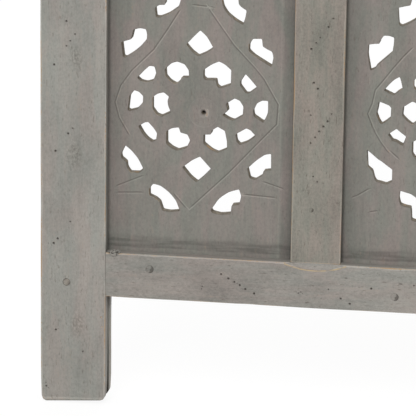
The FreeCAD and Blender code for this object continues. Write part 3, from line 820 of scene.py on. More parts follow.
# %% Stiles
PHOTO_STILE_DOTS = ((19.1, 283.2), (25.4, 274.1), (22.0, 269.1), (19.1, 265.3), (10.2, 251.5), (23.7, 205.6),
                    (20.4, 201.6), (11.2, 188.4), (22.0, 136.6), (12.8, 123.5), (9.8, 119.9), (11.4, 54.8),
                    (31.5, 39.4, 1.0), (4.3, 11.4, 1.1), (4.0, 13.9, 0.8), (5.9, 9.9, 0.7), (13.6, 55.4, 0.6),
                    (40.6, 77.5, 0.6), (44.8, 66.2, 0.8), (45.6, 58.9, 0.7), (43.9, 50.3, 0.5), (36.2, 44.5, 0.5))
HINGES = (180 * MM, 825 * MM, 1470 * MM)
HINGE_EDGES = {("left_leaf", "right"): "back", ("middle_leaf", "left"): "back",
               ("middle_leaf", "right"): "front", ("right_leaf", "left"): "front"}
MARKS_END = 1600
BOTTOM_TENON = (86 * MM, 107 * MM)
TOP_TENON = (1625 * MM, 1646 * MM)
PEG_HEIGHTS = (96.5 * MM, 1635.5 * MM)
PHOTO_PEG = (19.3 * MM, 91.2 * MM)


shift = grain_shift("left_leaf_left_stile_worn")
PHOTO_KNOTS = [(x * MM + shift[0], z * MM + shift[2], radius * MM) for x, z, radius in
               ((26.3, 256.7, 6.5), (25.0, 186.5, 8.0), (27.7, 59.6, 7.0), (22.0, 640.0, 7.5), (30.0, 1105.0, 8.5))]
PHOTO_STILE_WASH = washed_wood("stile_wash_with_knots", paint(146, 146, 140), paint(151, 145, 139),
                               knots=PHOTO_KNOTS)


def shape_foot(piece, low_x, high_x, tilt):
    """Rounds a foot's lower corners and cuts it a little out of square."""
    for vertex in piece.data.vertices:
        spot = vertex.co
        left = spot.x - low_x
        right = high_x - spot.x
        depth = max(0.0, 1 - spot.z / (8.5 * MM))
        inset = 3.0 * MM * (1 - math.sqrt(max(0.0, 1 - depth * depth)))
        shallow = max(0.0, 1 - spot.z / (4 * MM))
        tuck = 1.2 * MM * (1 - math.sqrt(max(0.0, 1 - shallow * shallow)))
        middle = (low_x + high_x) / 2
        spot.x += inset * (middle - spot.x) / (middle - low_x)
        spot.y += tuck * (THICKNESS / 2 - spot.y) / (THICKNESS / 2)
        if spot.z < 20 * MM:
            share = left / STILE if tilt > 0 else right / STILE
            spot.z += abs(tilt) * max(0.0, share) ** 1.5 * (1 - spot.z / (20 * MM))


# %% [markdown]
# The joinery of a stile is cut in the order of a workshop: the long groove, the sockets for both rails' tenons, the
# holes for the pegs, and last the shallow seats of the hinge plates on the edges that carry hinges.

# %% Joinery of a stile
SOCKET_DEPTH = 38.8 * MM
SOCKET_ROOM = 0.1 * MM
SEAT_DEPTH = 1.6 * MM
SEAT_HALF = 30.1 * MM
SEAT_Y = {"front": (-5 * MM, 18.1 * MM), "back": (6.9 * MM, 30 * MM)}
PEG_HOLE = [(2.95 * MM, -0.1 * MM), (2.56 * MM, 0.25 * MM), (2.55 * MM, 12.4 * MM), (2.56 * MM, 24.75 * MM),
            (2.95 * MM, 25.1 * MM)]


def peg_places(leaf, side):
    """Where a stile's pegs are, as (x, z). The one that the photograph shows is a little off."""
    x = PEG_IN if side == "left" else LEAF_WIDTH - PEG_IN
    photographed = (leaf, side) == ("left_leaf", "left")
    return [PHOTO_PEG if photographed and height < 1 else (x, height) for height in PEG_HEIGHTS]


def cut_stile(piece, leaf, side, inner, inward):
    outer = 0 if side == "left" else LEAF_WIDTH
    slots = [(GROOVE_DEPTH, -OVER, LEAF_HEIGHT + OVER)]
    slots += [(SOCKET_DEPTH, start - SOCKET_ROOM, end + SOCKET_ROOM) for start, end in (BOTTOM_TENON, TOP_TENON)]
    for depth, start, end in slots:
        near, far = sorted((inner - inward * OVER, inner + inward * depth))
        cut(piece, block("slot", (near, GROOVE_Y[0], start), (far, GROOVE_Y[1], end)))
    cut(piece, *[turned("peg_hole", PEG_HOLE, 20, (x, 0, z)) for x, z in peg_places(leaf, side)])
    if (leaf, side) in HINGE_EDGES:
        y = SEAT_Y[HINGE_EDGES[leaf, side]]
        for height in HINGES:
            cut(piece, block("seat", (outer - SEAT_DEPTH, y[0], height - SEAT_HALF),
                             (outer + SEAT_DEPTH, y[1], height + SEAT_HALF)))


# %% [markdown]
# A stile is put together from these: the worn member, its foot, its joinery, its marks and at last the values for
# its finish. The left leaf's left stile is the one in the photograph, so its lowest marks are given one by one.

# %% The six stiles
def stile_marks(piece, low, high, photographed, luck):
    low_x, high_x = low.x / MM + 6, high.x / MM - 6
    if photographed:
        front = PHOTO_STILE_DOTS + tuple(dot_rows(luck, low_x, high_x, 330, MARKS_END, 13))
        back = dot_rows(luck, low_x, high_x, 60, MARKS_END, 12)
    else:
        front = dot_rows(luck, low_x, high_x, 30, MARKS_END, 15)
        back = dot_rows(luck, low_x, high_x, 30, MARKS_END, 12)
    dashes = [(luck.uniform(low_x, high_x), luck.uniform(320, MARKS_END)) for _ in range(4)]
    return marks_on(piece, 0, 1, front, luck, dashes) + marks_on(piece, THICKNESS, -1, back, luck)


def stile_values(values, piece, leaf, side, inner):
    """Sets the foot's inner face, a little darker at its front lip and painted lighter at its back lip as painted
    light, and the dark rings round the pegs, with painted shade on their left side.
    """
    for number, vertex in enumerate(piece.data.vertices):
        spot = vertex.co
        # The back lip of the foot's slot is painted lighter, as painted light on a face that the key lamp hardly
        # reaches.
        if abs(spot.x - inner) < ON_FACE and spot.z < FOOT - 1 * MM:
            values[number] = -0.16 if spot.y < GROOVE_Y[0] + 0.1 * MM else 0.34
        for x, z in peg_places(leaf, side):
            way = Vector((spot.x - x, spot.z - z))
            if 2.4 * MM < way.length < 3.0 * MM and 0.1 * MM < spot.y < 1 * MM:
                # The ring round a peg is a little dirty, and its left side, turned from the light, gets painted shade.
                values[number] = -0.75 if way.x < 0.6 * MM else -0.15


def stile(leaf, side):
    luck = random.Random(f"{leaf}{side}stile")
    left = side == "left"
    low = Vector((0, 0, 0)) if left else Vector((LEAF_WIDTH - STILE, 0, 0))
    high = low + Vector((STILE, THICKNESS, LEAF_HEIGHT))
    inner, inward = (STILE, -1) if left else (LEAF_WIDTH - STILE, 1)
    photographed = leaf == "left_leaf" and left
    piece, long = member(f"{leaf}_{side}_stile_worn", low, high)
    bisected(piece, [height * MM for height in (0.8, 2.0, 4.0)])

    def sharp(where, corner):
        if corner[0] == -inward and (FOOT - 3 * MM < where < RAIL_TOP or where > TOP_RAIL):
            return 0.5
        return 1.0 if corner[0] == -inward else 1.25

    def rub(where, corner):
        if corner[0] == -inward and (FOOT < where < RAIL_TOP or where > TOP_RAIL):
            return -0.30
        return 0.52 if corner[0] != -inward else 0.42

    wear_arrises(piece, low, high, long, sharp, lambda corner: 0.12 if corner[0] == -inward else 1.0)
    shape_foot(piece, low.x, high.x, 2.5 * MM * (1 if left else -1) if photographed
               else luck.uniform(0.3, 1.8) * MM * luck.choice((-1, 1)))
    cut_stile(piece, leaf, side, inner, inward)
    print("open edges:", marked(piece, stile_marks(piece, low, high, photographed, luck), (0, THICKNESS)))
    # The stile's inner face is painted darker, as dirt and the shade beside the board and the rails.
    values = arris_values(piece, low, high, long, rub, [(0, inner, -0.30, -0.48)])
    stile_values(values, piece, leaf, side, inner)
    return set_in_place(piece, leaf, [f"{leaf}_{side}_stile"], "stile_wood", 2, values, smooth=40,
                        finishes=[PHOTO_STILE_WASH] if photographed else None)


make_all(stile, "left", "right")

# %% [markdown]
# The rails are tenoned between the stiles, so only a hair crack shows at the joint. The bottom rail's top arris is
# rubbed tan, and in the middle it has a scooped hollow where the setback muntin meets it. Slanting rows of nail
# points run down it.

# %% Rails
PHOTO_RAIL_DOTS = ((132.5, 103.5), (137.8, 100.6), (142.2, 98.3), (146.1, 96.1), (150.2, 93.4), (156.6, 90.5, 1.2),
                   (210.2, 96.7), (219.1, 90.3), (225.7, 86.8), (240.8, 99.0), (271.2, 103.0),
                   (118.6, 95.6, 0.6), (118.9, 93.6, 0.9), (118.4, 91.7, 0.7), (186.9, 93.4, 0.7),
                   (188.6, 92.6, 0.9), (190.3, 93.6, 0.8), (191.6, 92.4, 0.6), (189.6, 91.3, 0.5))
PHOTO_RAIL_DASHES = ((222.5, 105.6), (261.6, 103.6))
PHOTO_RAIL_PLUGS = ((80.4, 104.3), (257.7, 93.7))
CRACK = 0.12 * MM
SCOOP = (49.6 * MM, 14.0 * MM, 27.1 * MM)
SCOOP_OUT = 10 * MM
HOLLOW_IN = 14 * MM
LIP_SQUASH = 0.547
RAIL_TENONS = ((10 * MM, 49 * MM), (351 * MM, 390 * MM))
MUNTIN_SOCKET = (MUNTIN_LEFT + 7.9 * MM, MUNTIN_RIGHT - 7.9 * MM, 20.8 * MM)


def scoop(centre, half_sizes):
    """A rounded gouge, as an ellipsoid to take out."""
    bpy.ops.object.select_all(action="DESELECT")
    bpy.ops.mesh.primitive_uv_sphere_add(segments=48, ring_count=32, radius=1, location=centre, scale=half_sizes)
    bpy.ops.object.transform_apply(location=True, rotation=True, scale=True)
    return bpy.context.object


def cut_rail(piece, edge, inward, tenon, middle):
    """The groove, the muntin's socket and the tenons, and then the scooped hollow with its rubbed lip."""
    for start, end, depth in ((0, LEAF_WIDTH, GROOVE_DEPTH), MUNTIN_SOCKET):
        near, far = sorted((edge - inward * OVER, edge + inward * depth))
        cut(piece, block("slot", (start, GROOVE_Y[0], near), (end, GROOVE_Y[1], far)))
    for near, far in RAIL_TENONS:
        union(piece, block("tenon", (near, TENON_Y[0], tenon[0]), (far, TENON_Y[1], tenon[1])))
    cut(piece, scoop((middle.x, -SCOOP_OUT, middle.z), SCOOP))
    lip = turned("lip", [(35.8 * MM, -0.17 * MM), (34.4 * MM, 0.17 * MM)], 96, (0, 0, 0))
    lip.data.transform(Matrix.Translation(middle) @ Matrix.Diagonal((1, 1, LIP_SQUASH, 1)))
    cut(piece, lip)


# %% [markdown]
# The rails are made like the stiles. The left leaf's bottom rail is the one in the photograph. The others get rows
# of marks by chance.

# %% The six rails
def rail_marks(piece, base, photographed, luck):
    """The marks of both faces, and the places of the plugs."""
    low_z, high_z = base / MM + 4, (base + RAIL) / MM - 5
    if photographed:
        front = PHOTO_RAIL_DOTS + tuple(dot_rows(luck, 285, 345, low_z, high_z, 2))
        dashes, plugs = PHOTO_RAIL_DASHES, PHOTO_RAIL_PLUGS
    else:
        front = dot_rows(luck, 56, 344, low_z, high_z, 6)
        dashes = [(luck.uniform(60, 340), luck.uniform(low_z, high_z)) for _ in range(4)]
        plugs = [(luck.uniform(*sides), luck.uniform(low_z + 6, high_z - 6)) for sides in ((70, 150), (240, 330))]
    back = dot_rows(luck, 56, 344, low_z, high_z, 4)
    return marks_on(piece, 0, 1, front, luck, dashes, plugs) + marks_on(piece, THICKNESS, -1, back, luck), plugs


def lip_faces(piece, middle):
    """1 for every face on the rubbed lip of the hollow, else 0."""
    on_lip = []
    for face in piece.data.polygons:
        way = face.center - middle
        round_middle = math.hypot(way.x, way.z / LIP_SQUASH)
        on_lip.append(int(33.5 * MM < round_middle < 35.6 * MM and 0.01 * MM < way.y < 0.3 * MM
                          and 0.3 < abs(face.normal.y) < 0.999))
    return on_lip


def rail(leaf, end):
    luck = random.Random(f"{leaf}{end}rail")
    bottom = end == "bottom"
    base = FOOT if bottom else TOP_RAIL
    low = Vector((STILE + CRACK, 0, base))
    high = Vector((LEAF_WIDTH - STILE - CRACK, THICKNESS, base + RAIL))
    piece, long = member(f"{leaf}_{end}_rail_worn", low, high)
    edge, inward = (RAIL_TOP, -1) if bottom else (TOP_RAIL, 1)

    def sharp(where, corner):
        return 1.1 if corner[1] == -inward else 0.8

    def rub(where, corner):
        return 0.54 if corner[1] == -inward and corner[0] < 0 else 0.32

    wear_arrises(piece, low, high, long, sharp)
    middle = Vector((LEAF_WIDTH / 2, 0, edge - inward * HOLLOW_IN))
    cut_rail(piece, edge, inward, BOTTOM_TENON if bottom else TOP_TENON, middle)
    marks, plugs = rail_marks(piece, base, leaf == "left_leaf" and bottom, luck)
    print("open edges:", marked(piece, marks, (0, THICKNESS)))
    # The rail's face towards the opening is painted darker, as dirt and the shade of the ledge under the board.
    values = arris_values(piece, low, high, long, rub, [(2, edge, -0.14, -0.30)])
    plug_values(piece, 0, plugs, values)
    for number, vertex in enumerate(piece.data.vertices):
        way = vertex.co - middle + Vector((0, SCOOP_OUT, 0))
        reach = sum((way[axis] / SCOOP[axis]) ** 2 for axis in range(3))
        if abs(reach - 1) < 0.02 and vertex.co.y > ON_FACE:
            values[number] = 0.05
    piece.data.polygons.foreach_set("material_index", lip_faces(piece, middle))
    return set_in_place(piece, leaf, [f"{leaf}_{end}_rail"], "rail_wood", 0, values,
                        finishes=[WOODS["rail_wood"], LIP], smooth=40)


make_all(rail, "bottom", "top")

# %% [markdown]
# The muntin is a thinner upright between the two boards, set 2 mm back from the frame's faces. It is grooved on
# both sides for the boards and tenoned into the rails. Its slanting rows of dots run the whole way up.

# %% Muntins
PHOTO_MUNTIN_DOTS = ((209.1, 292.8), (205.8, 286.6), (200.1, 278.9), (197.3, 275.0), (194.0, 270.4), (196.3, 246.4),
                     (199.2, 242.2), (209.3, 224.4), (206.6, 219.0), (203.8, 215.1), (200.8, 211.4),
                     (198.0, 207.0), (194.9, 202.7), (194.5, 222.9), (197.2, 178.5), (200.2, 174.8),
                     (190.4, 168.2, 0.5), (205.5, 147.0, 0.6), (188.1, 138.4, 0.5),
                     (210.6, 163.7, 0.5))
PHOTO_MUNTIN_PLUGS = ((196.5, 153.9, 0.55),)
MUNTIN_FACE = (187, 213)
TENON_IN = 8 * MM
TENON_LONG = 20 * MM
TENON_ROOT = 1 * MM


def muntin(leaf):
    luck = random.Random(f"{leaf}muntin")
    low = Vector((MUNTIN_LEFT, SETBACK, RAIL_TOP))
    high = Vector((MUNTIN_RIGHT, THICKNESS - SETBACK, TOP_RAIL))
    piece, long = member(f"{leaf}_muntin_worn", low, high)
    bisected(piece, (RAIL_TOP + 0.7 * MM, TOP_RAIL - 0.7 * MM))

    def rub(where, corner):
        return 0.50 if corner == (-1, -1) else 0.25

    wear_arrises(piece, low, high, long, lambda where, corner: 1.0)
    for near, far in ((MUNTIN_LEFT - OVER, MUNTIN_LEFT + GROOVE_DEPTH),
                      (MUNTIN_RIGHT - GROOVE_DEPTH, MUNTIN_RIGHT + OVER)):
        cut(piece, block("groove", (near, GROOVE_Y[0], 0), (far, GROOVE_Y[1], LEAF_HEIGHT)))
    for start, end in ((RAIL_TOP - TENON_LONG, RAIL_TOP + TENON_ROOT), (TOP_RAIL - TENON_ROOT, TOP_RAIL + TENON_LONG)):
        union(piece, block("tenon", (MUNTIN_LEFT + TENON_IN, TENON_Y[0], start),
                           (MUNTIN_RIGHT - TENON_IN, TENON_Y[1], end)))
    if leaf == "left_leaf":
        front = PHOTO_MUNTIN_DOTS + tuple(dot_rows(luck, *MUNTIN_FACE, 330, MARKS_END, 20))
    else:
        front = dot_rows(luck, *MUNTIN_FACE, 130, MARKS_END, 24)
    plugs = PHOTO_MUNTIN_PLUGS if leaf == "left_leaf" else ()
    back = dot_rows(luck, *MUNTIN_FACE, 130, MARKS_END, 14)
    marks = (marks_on(piece, SETBACK, 1, front, luck, (), plugs)
             + marks_on(piece, THICKNESS - SETBACK, -1, back, luck))
    print("open edges:", marked(piece, marks, (SETBACK, THICKNESS - SETBACK)))
    # The muntin's sides beside the boards are painted darker, as dirt and shade.
    dirt_and_shade = [(0, side, -0.34, -0.5) for side in (MUNTIN_LEFT, MUNTIN_RIGHT)]
    values = arris_values(piece, low, high, long, rub, dirt_and_shade)
    plug_values(piece, SETBACK, plugs, values)
    for number, vertex in enumerate(piece.data.vertices):
        spot = vertex.co
        if min(abs(spot.z - RAIL_TOP), abs(spot.z - TOP_RAIL)) < 0.1 * MM and spot.y < 4 * MM:
            values[number] = 0.62 + 0.6 * noise.noise(spot * 90)
    return set_in_place(piece, leaf, [f"{leaf}_muntin"], "muntin_wood", 2, values, smooth=40)


for leaf in LEAVES:
    made = muntin(leaf)
    print(made.name, len(made.data.vertices), "points")

# %% [markdown]
# Each board is a thin plank in which eight medallions are sawn out by hand, with faint lines scribed round them.
# No two medallions are alike. The lowest ones of the left leaf are drawn as the photograph shows them, corner by
# corner in millimetres from the middle, and the others are the same outlines turned over and shaken a little.

# %% The sawn outlines of a medallion
LEFT_HOLES = (
    ((-30.4, 63.2), (-27.8, 63.0), (-21.6, 65.6), (-14.6, 70.8), (-12.7, 76.2), (-13.2, 84.4), (-22.7, 81.6),
     (-23.9, 72.9), (-24.4, 72.1), (-28.3, 71.9), (-31.2, 69.7)),
    ((17.9, 71.9), (21.0, 67.4), (26.7, 63.0), (31.8, 60.3), (33.5, 65.8), (34.2, 70.5), (30.3, 72.9),
     (28.6, 74.8), (27.6, 84.0), (17.3, 83.6), (16.8, 76.0)),
    ((-54.0, 33.6), (-52.5, 33.1), (-47.3, 36.5), (-42.1, 40.9), (-37.1, 46.9), (-36.8, 50.4), (-37.7, 54.0),
     (-41.8, 54.7), (-46.6, 53.4), (-48.2, 46.8), (-48.5, 46.3), (-55.3, 44.0)),
    ((36.1, 41.7), (39.9, 38.3), (45.6, 34.9), (52.6, 30.9), (53.9, 37.9), (52.8, 41.8), (49.2, 43.4),
     (46.1, 45.3), (45.5, 50.7), (38.9, 50.4), (36.2, 46.1)),
    ((-2.6, 50.9), (-8.6, 44.3), (-4.3, 39.4), (0.0, 36.3), (5.5, 38.8), (10.9, 42.7), (6.1, 50.8), (1.4, 54.9)),
    ((-23.3, 20.9), (-20.2, 17.4), (-16.0, 15.3), (-12.2, 18.9), (-11.9, 20.4), (-6.3, 20.6), (-6.7, 25.9),
     (-9.6, 29.9), (-14.8, 31.7), (-18.9, 30.5), (-23.7, 25.9)),
    ((4.1, 21.1), (5.7, 19.4), (13.1, 19.7), (14.0, 15.3), (16.1, 13.8), (23.7, 16.7), (23.9, 27.3),
     (19.2, 31.2), (15.1, 33.1), (10.0, 30.8), (4.1, 26.5)),
    ((-40.9, 16.4), (-36.8, 15.6), (-32.3, 17.1), (-30.0, 22.7), (-31.3, 27.4), (-34.9, 27.7), (-38.5, 24.4),
     (-43.6, 18.7)),
    ((-50.4, -5.0), (-49.1, -5.7), (-43.9, -4.2), (-39.6, 0.8), (-39.4, 5.6), (-42.5, 8.6), (-45.9, 9.5),
     (-49.4, 4.8)),
    ((-39.6, -21.8), (-36.5, -25.4), (-32.8, -27.6), (-29.8, -26.0), (-29.1, -21.1), (-31.9, -17.0),
     (-35.6, -13.2), (-38.2, -13.7), (-42.6, -16.6)),
    ((-32.4, -3.6), (-29.3, -7.7), (-26.2, -8.8), (-19.2, -5.3), (-21.2, -0.8), (-21.7, 2.8), (-20.7, 6.0),
     (-24.4, 8.9), (-29.0, 7.7), (-32.5, 4.9)),
    ((21.9, -2.4), (18.1, -5.5), (21.6, -7.8), (25.7, -9.2), (32.5, -5.1), (33.0, 1.2), (30.4, 5.3),
     (26.7, 6.9), (20.7, 2.9)),
    ((30.5, 19.0), (30.5, 16.6), (34.7, 11.1), (36.8, 11.2), (42.6, 15.7), (37.8, 21.2), (34.2, 24.9)),
    ((42.8, 4.1), (40.1, -1.7), (40.7, -5.4), (47.4, -9.7), (50.7, -2.6), (50.6, 6.2), (46.3, 6.2)),
    ((28.6, -24.3), (30.7, -26.6), (36.3, -24.4), (42.0, -19.7), (38.4, -15.7), (35.3, -14.5), (27.8, -19.1)),
    ((-22.3, -28.4), (-18.6, -31.4), (-14.5, -33.1), (-7.7, -30.7), (-5.1, -25.2), (-7.0, -21.1),
     (-12.2, -19.8), (-13.3, -16.1), (-18.4, -16.9), (-22.4, -19.5)),
    ((4.7, -27.0), (10.5, -31.5), (14.7, -33.1), (21.6, -29.9), (21.5, -24.4), (19.9, -17.1), (14.7, -14.3),
     (10.6, -17.2), (9.8, -20.2), (4.7, -20.5)),
    ((-3.7, -39.8), (-10.4, -45.2), (-4.9, -51.8), (-0.1, -55.5), (4.5, -51.3), (10.2, -45.2), (2.2, -36.7)),
    ((-54.7, -40.6), (-51.0, -43.6), (-50.7, -47.3), (-48.3, -50.9), (-42.0, -50.8), (-38.8, -47.9),
     (-42.7, -40.2), (-48.0, -34.2), (-52.1, -31.1), (-55.2, -38.0)),
    ((38.3, -50.7), (41.9, -51.7), (47.3, -48.2), (48.2, -44.8), (53.6, -44.0), (53.4, -32.2), (49.0, -33.0),
     (42.9, -37.5), (36.5, -43.8)),
    ((-34.3, -67.2), (-29.8, -69.1), (-26.7, -71.6), (-24.5, -77.9), (-19.2, -78.6), (-12.0, -77.5),
     (-14.8, -70.0), (-20.1, -63.9), (-26.4, -59.5), (-31.6, -58.5), (-34.4, -62.3)),
    ((11.6, -77.5), (17.4, -78.8), (24.8, -77.8), (25.6, -71.4), (31.0, -70.6), (32.4, -64.3), (30.8, -59.4),
     (23.6, -61.6), (16.4, -66.8), (10.5, -75.9)),
)
RIGHT_HOLES = (
    ((-30.8, 69.7), (-30.3, 65.1), (-28.4, 64.0), (-24.2, 65.9), (-19.5, 68.8), (-15.1, 71.8), (-14.1, 80.0),
     (-15.4, 88.1), (-21.2, 86.1), (-22.2, 81.5), (-22.8, 79.0), (-26.4, 78.2), (-31.3, 77.0)),
    ((-51.8, 42.4), (-50.5, 36.4), (-49.7, 31.7), (-46.6, 33.2), (-45.6, 35.1), (-41.8, 38.7), (-37.6, 42.5),
     (-34.6, 45.4), (-33.8, 51.4), (-33.6, 55.7), (-37.2, 56.8), (-40.9, 56.8), (-42.8, 54.0), (-43.8, 50.9),
     (-47.8, 50.6), (-51.5, 49.9)),
    ((-33.0, 14.5), (-30.3, 17.1), (-26.7, 19.5), (-27.9, 24.7), (-29.0, 27.9), (-33.0, 25.5), (-36.2, 22.1),
     (-39.8, 17.7)),
    ((-43.9, 4.0), (-44.8, 0.3), (-42.8, -4.4), (-41.2, -6.8), (-38.5, -5.0), (-34.6, -1.7), (-34.4, 5.3),
     (-35.8, 6.9), (-39.6, 8.4), (-43.2, 9.5)),
    ((-32.6, -18.4), (-30.4, -18.8), (-27.6, -20.4), (-25.4, -21.5), (-23.1, -15.0), (-27.1, -12.1),
     (-30.2, -9.6), (-36.0, -13.9)),
    ((-50.0, -33.8), (-49.7, -38.3), (-46.3, -40.9), (-44.7, -46.5), (-43.3, -48.6), (-39.4, -49.3),
     (-36.7, -50.1), (-32.4, -48.1), (-32.4, -39.2), (-36.2, -36.6), (-40.1, -33.7), (-42.9, -32.1),
     (-46.3, -29.2), (-50.6, -25.8)),
    ((-27.1, -60.2), (-25.8, -64.7), (-22.5, -65.9), (-18.4, -66.5), (-17.9, -70.5), (-17.6, -75.5),
     (-14.5, -76.5), (-9.0, -76.5), (-3.1, -75.5), (-4.6, -71.1), (-7.5, -65.6), (-10.9, -61.9), (-14.8, -59.0),
     (-18.7, -56.4), (-21.5, -55.7), (-26.4, -54.4)),
    ((-26.3, 0.1), (-23.2, -3.1), (-19.3, -6.0), (-13.9, -1.5), (-16.1, 2.0), (-15.9, 3.5), (-12.3, 6.6),
     (-15.8, 9.2), (-19.6, 10.6), (-25.8, 6.4)),
)
BEYOND_THE_PICTURE = (1, 3, 4, 5, 6, 11, 12, 13, 14, 15, 16, 17, 19, 21)
LEFT_LINES = (
    ((-47.2, -25.5), (-56.0, -10.5), (-58.9, 0.4), (-55.0, 12.2), (-47.1, 23.5), (-31.3, 39.4), (-22.2, 53.2),
     (-11.2, 71.2)),
    ((-17.8, -62.3), (-5.2, -76.4), (23.4, -48.3), (43.7, -25.9), (57.8, -10.6), (58.6, 4.0), (53.3, 13.1),
     (48.0, 22.2), (42.3, 29.1), (26.1, 46.0), (18.8, 56.0), (5.2, 74.8)),
    ((-7.6, 72.8), (13.9, 71.1)),
    ((-60.8, -63.0), (-36.1, -52.1)),
    ((-60.8, -66.8), (-36.0, -65.5)),
    ((44.9, -52.4), (65.4, -58.7)),
    ((32.3, -63.3), (59.8, -64.8)),
)
RIGHT_LINES = (
    ((-25.9, -33.5), (-36.0, -25.1), (-40.5, -19.2), (-44.5, -12.7), (-46.8, -7.8), (-50.1, 0.4), (-47.2, 7.7),
     (-45.3, 17.5), (-40.6, 23.5), (-33.3, 33.3), (-26.5, 41.8), (-18.2, 50.9)),
    ((-62.5, -62.4), (-56.4, -59.8), (-48.9, -54.9), (-44.0, -52.9)),
    ((-50.9, -72.3), (-38.8, -69.7)),
)
print("holes:", len(LEFT_HOLES), "- corners:", sum(len(hole) for hole in LEFT_HOLES))

# %% [markdown]
# A fret saw leaves short curves between its corners, so a drawn corner becomes three points: far apart where the
# outline bends gently, and close together at a sharp corner. A medallion away from the photograph is shaken a
# little, hole by hole.

# %% Hole outlines
MEDALLIONS = 8
FIRST_MEDALLION = 224.1 * MM
MEDALLION_STEP = 183.4 * MM
BOARD_LOW = (40.8 * MM, 107.8 * MM)
BOARD_HIGH = (189.2 * MM, 1624.2 * MM)
BOARD_SHIFT = 170 * MM
OPENING_LOW = (STILE, RAIL_TOP)
OPENING_HIGH = (MUNTIN_LEFT, TOP_RAIL)


def softened(corners):
    """A closed loop of corners with each corner drawn as three points."""
    loop = []
    for number, corner in enumerate(corners):
        before, after = corners[number - 1], corners[(number + 1) % len(corners)]
        first, second = before - corner, after - corner
        shorter = min(first.length, second.length)
        gentle = first.angle(-second, 0) < math.radians(30)
        reach = 0.30 * shorter if gentle else min(0.26 * shorter, 0.75 * MM)
        start = corner + first.normalized() * reach
        end = corner + second.normalized() * reach
        loop += [start, start.lerp(end, 0.5).lerp(corner, 0.5), end]
    return loop


def outward(loop):
    """For each point of a loop, the direction away from the hole in which its edge moves out by one."""
    area = sum(a.x * b.y - b.x * a.y for a, b in zip(loop, loop[1:] + loop[:1]))
    turn = 1 if area > 0 else -1
    ways = []
    for number, point in enumerate(loop):
        before = (point - loop[number - 1]).normalized()
        after = (loop[(number + 1) % len(loop)] - point).normalized()
        first = Vector((before.y, -before.x)) * turn
        second = Vector((after.y, -after.x)) * turn
        middle = (first + second).normalized() if (first + second).length > 1e-6 else first
        ways.append(middle / max(0.6, middle.dot(first)))
    return ways


def medallion(outlines, lines, centre, luck=None, mirror=1):
    """The outlines and lines of one medallion about a centre. With a random source they are shaken a little."""
    def place(points, grow, angle, slip, jitter):
        placed = []
        for number, (x, z) in enumerate(points):
            spot = Vector((x * mirror, z)) * MM
            if luck:
                # Corners that are close together are shaken less, so that an outline never crosses itself.
                after = points[(number + 1) % len(points)]
                room = min(math.dist((x, z), points[number - 1]), math.dist((x, z), after))
                shake = jitter * min(1.0, room / 5)
                spot += Vector((luck.uniform(-shake, shake), luck.uniform(-shake, shake))) * MM
            placed.append(spot)
        middle = sum(placed, Vector((0, 0))) / len(placed)
        spin = Matrix.Rotation(angle, 2)
        return [centre + middle + slip + spin @ ((spot - middle) * grow) for spot in placed]

    holes, still = [], Vector((0, 0))
    for outline in outlines:
        if luck:
            slip = Vector((luck.uniform(-1, 1), luck.uniform(-1, 1))) * MM
            holes.append(place(outline, luck.uniform(0.94, 1.06), luck.uniform(-0.07, 0.07), slip, 0.6))
        else:
            holes.append(place(outline, 1, 0, still, 0))
    return holes, [place(line, 1, 0, still, 0.8) for line in lines]


# %% [markdown]
# The saw cut is drawn through the board ring by ring. It is wider at both faces, where the edges are rubbed, and it
# drifts a little on the way to the back. Every point keeps its number, so that it is found again after a ring.

# %% Sawing the holes
SAW_RINGS = [(0.0, 0.28), (0.10, 0.14), (0.40, 0.0), (4.0, 0.05), (7.60, 0.0), (7.90, 0.14), (8.0, 0.28)]


def number_points(piece):
    piece.data.attributes.new("number", "INT", "POINT").data.foreach_set("value", range(len(piece.data.vertices)))


def saw_walls(name, holes, luck):
    """Draws the outlines as faces on the board's front, and extrudes them through it ring by ring."""
    loops = [softened(hole) for hole in holes]
    flat = [point for loop in loops for point in loop]
    ways = [way for loop in loops for way in outward(loop)]
    drift = []
    for loop in loops:
        slip = Vector((luck.uniform(-0.35, 0.35), luck.uniform(-0.35, 0.35))) * MM
        drift += [slip] * len(loop)
    faces, start = [], 0
    for loop in loops:
        faces.append(list(range(start, start + len(loop))))
        start += len(loop)

    def spot(number, depth, grow):
        point = flat[number] + ways[number] * grow * MM + drift[number] * (depth / BOARD_MM)
        return Vector((point.x, BOARD_FRONT + depth * MM, point.y))

    data = bpy.data.meshes.new(name)
    data.from_pydata([spot(n, *SAW_RINGS[0]) for n in range(len(flat))], [], faces)
    piece = linked(name, data)
    number_points(piece)
    alone(piece)
    bpy.ops.object.mode_set(mode="EDIT")
    bpy.ops.mesh.select_all(action="SELECT")
    for (depth_before, _), ring in zip(SAW_RINGS, SAW_RINGS[1:]):
        bpy.ops.mesh.extrude_region_move(TRANSFORM_OT_translate={"value": (0, (ring[0] - depth_before) * MM, 0)})
        work = bmesh.from_edit_mesh(piece.data)
        layer = work.verts.layers.int["number"]
        for vertex in work.verts:
            if vertex.select:
                vertex.co = spot(vertex[layer], *ring)
    bpy.ops.object.mode_set(mode="OBJECT")
    return piece


# %% [markdown]
# The lines round a medallion are scribed with a knife: shallow grooves that start and end at nothing. Each is kept
# as a row of close points, so that any point of the board can ask how near a line is. The hub in the middle of a
# medallion is a shallow turned dish with a small deep hole.

# %% Scribed lines and hubs
LINE_HALF = 0.8 * MM
LINE_DEPTH = 0.22 * MM


def dense(line, step):
    """A drawn line with more points on it, at most a step apart."""
    spots = [line[0]]
    for before, after in zip(line, line[1:]):
        steps = max(1, round((after - before).length / step))
        spots += [before.lerp(after, number / steps) for number in range(1, steps + 1)]
    return spots


def line_sides(spots, half):
    """Two rows of points beside a scribed line, drawn in to a point at both ends."""
    sides = [[], []]
    for number, spot in enumerate(spots):
        ahead = spots[min(number + 1, len(spots) - 1)] - spots[max(number - 1, 0)]
        across = Vector((ahead.y, -ahead.x)).normalized() * half
        share = 0.0 if number in (0, len(spots) - 1) else 1.0
        sides[0].append(spot + across * share)
        sides[1].append(spot - across * share)
    return sides


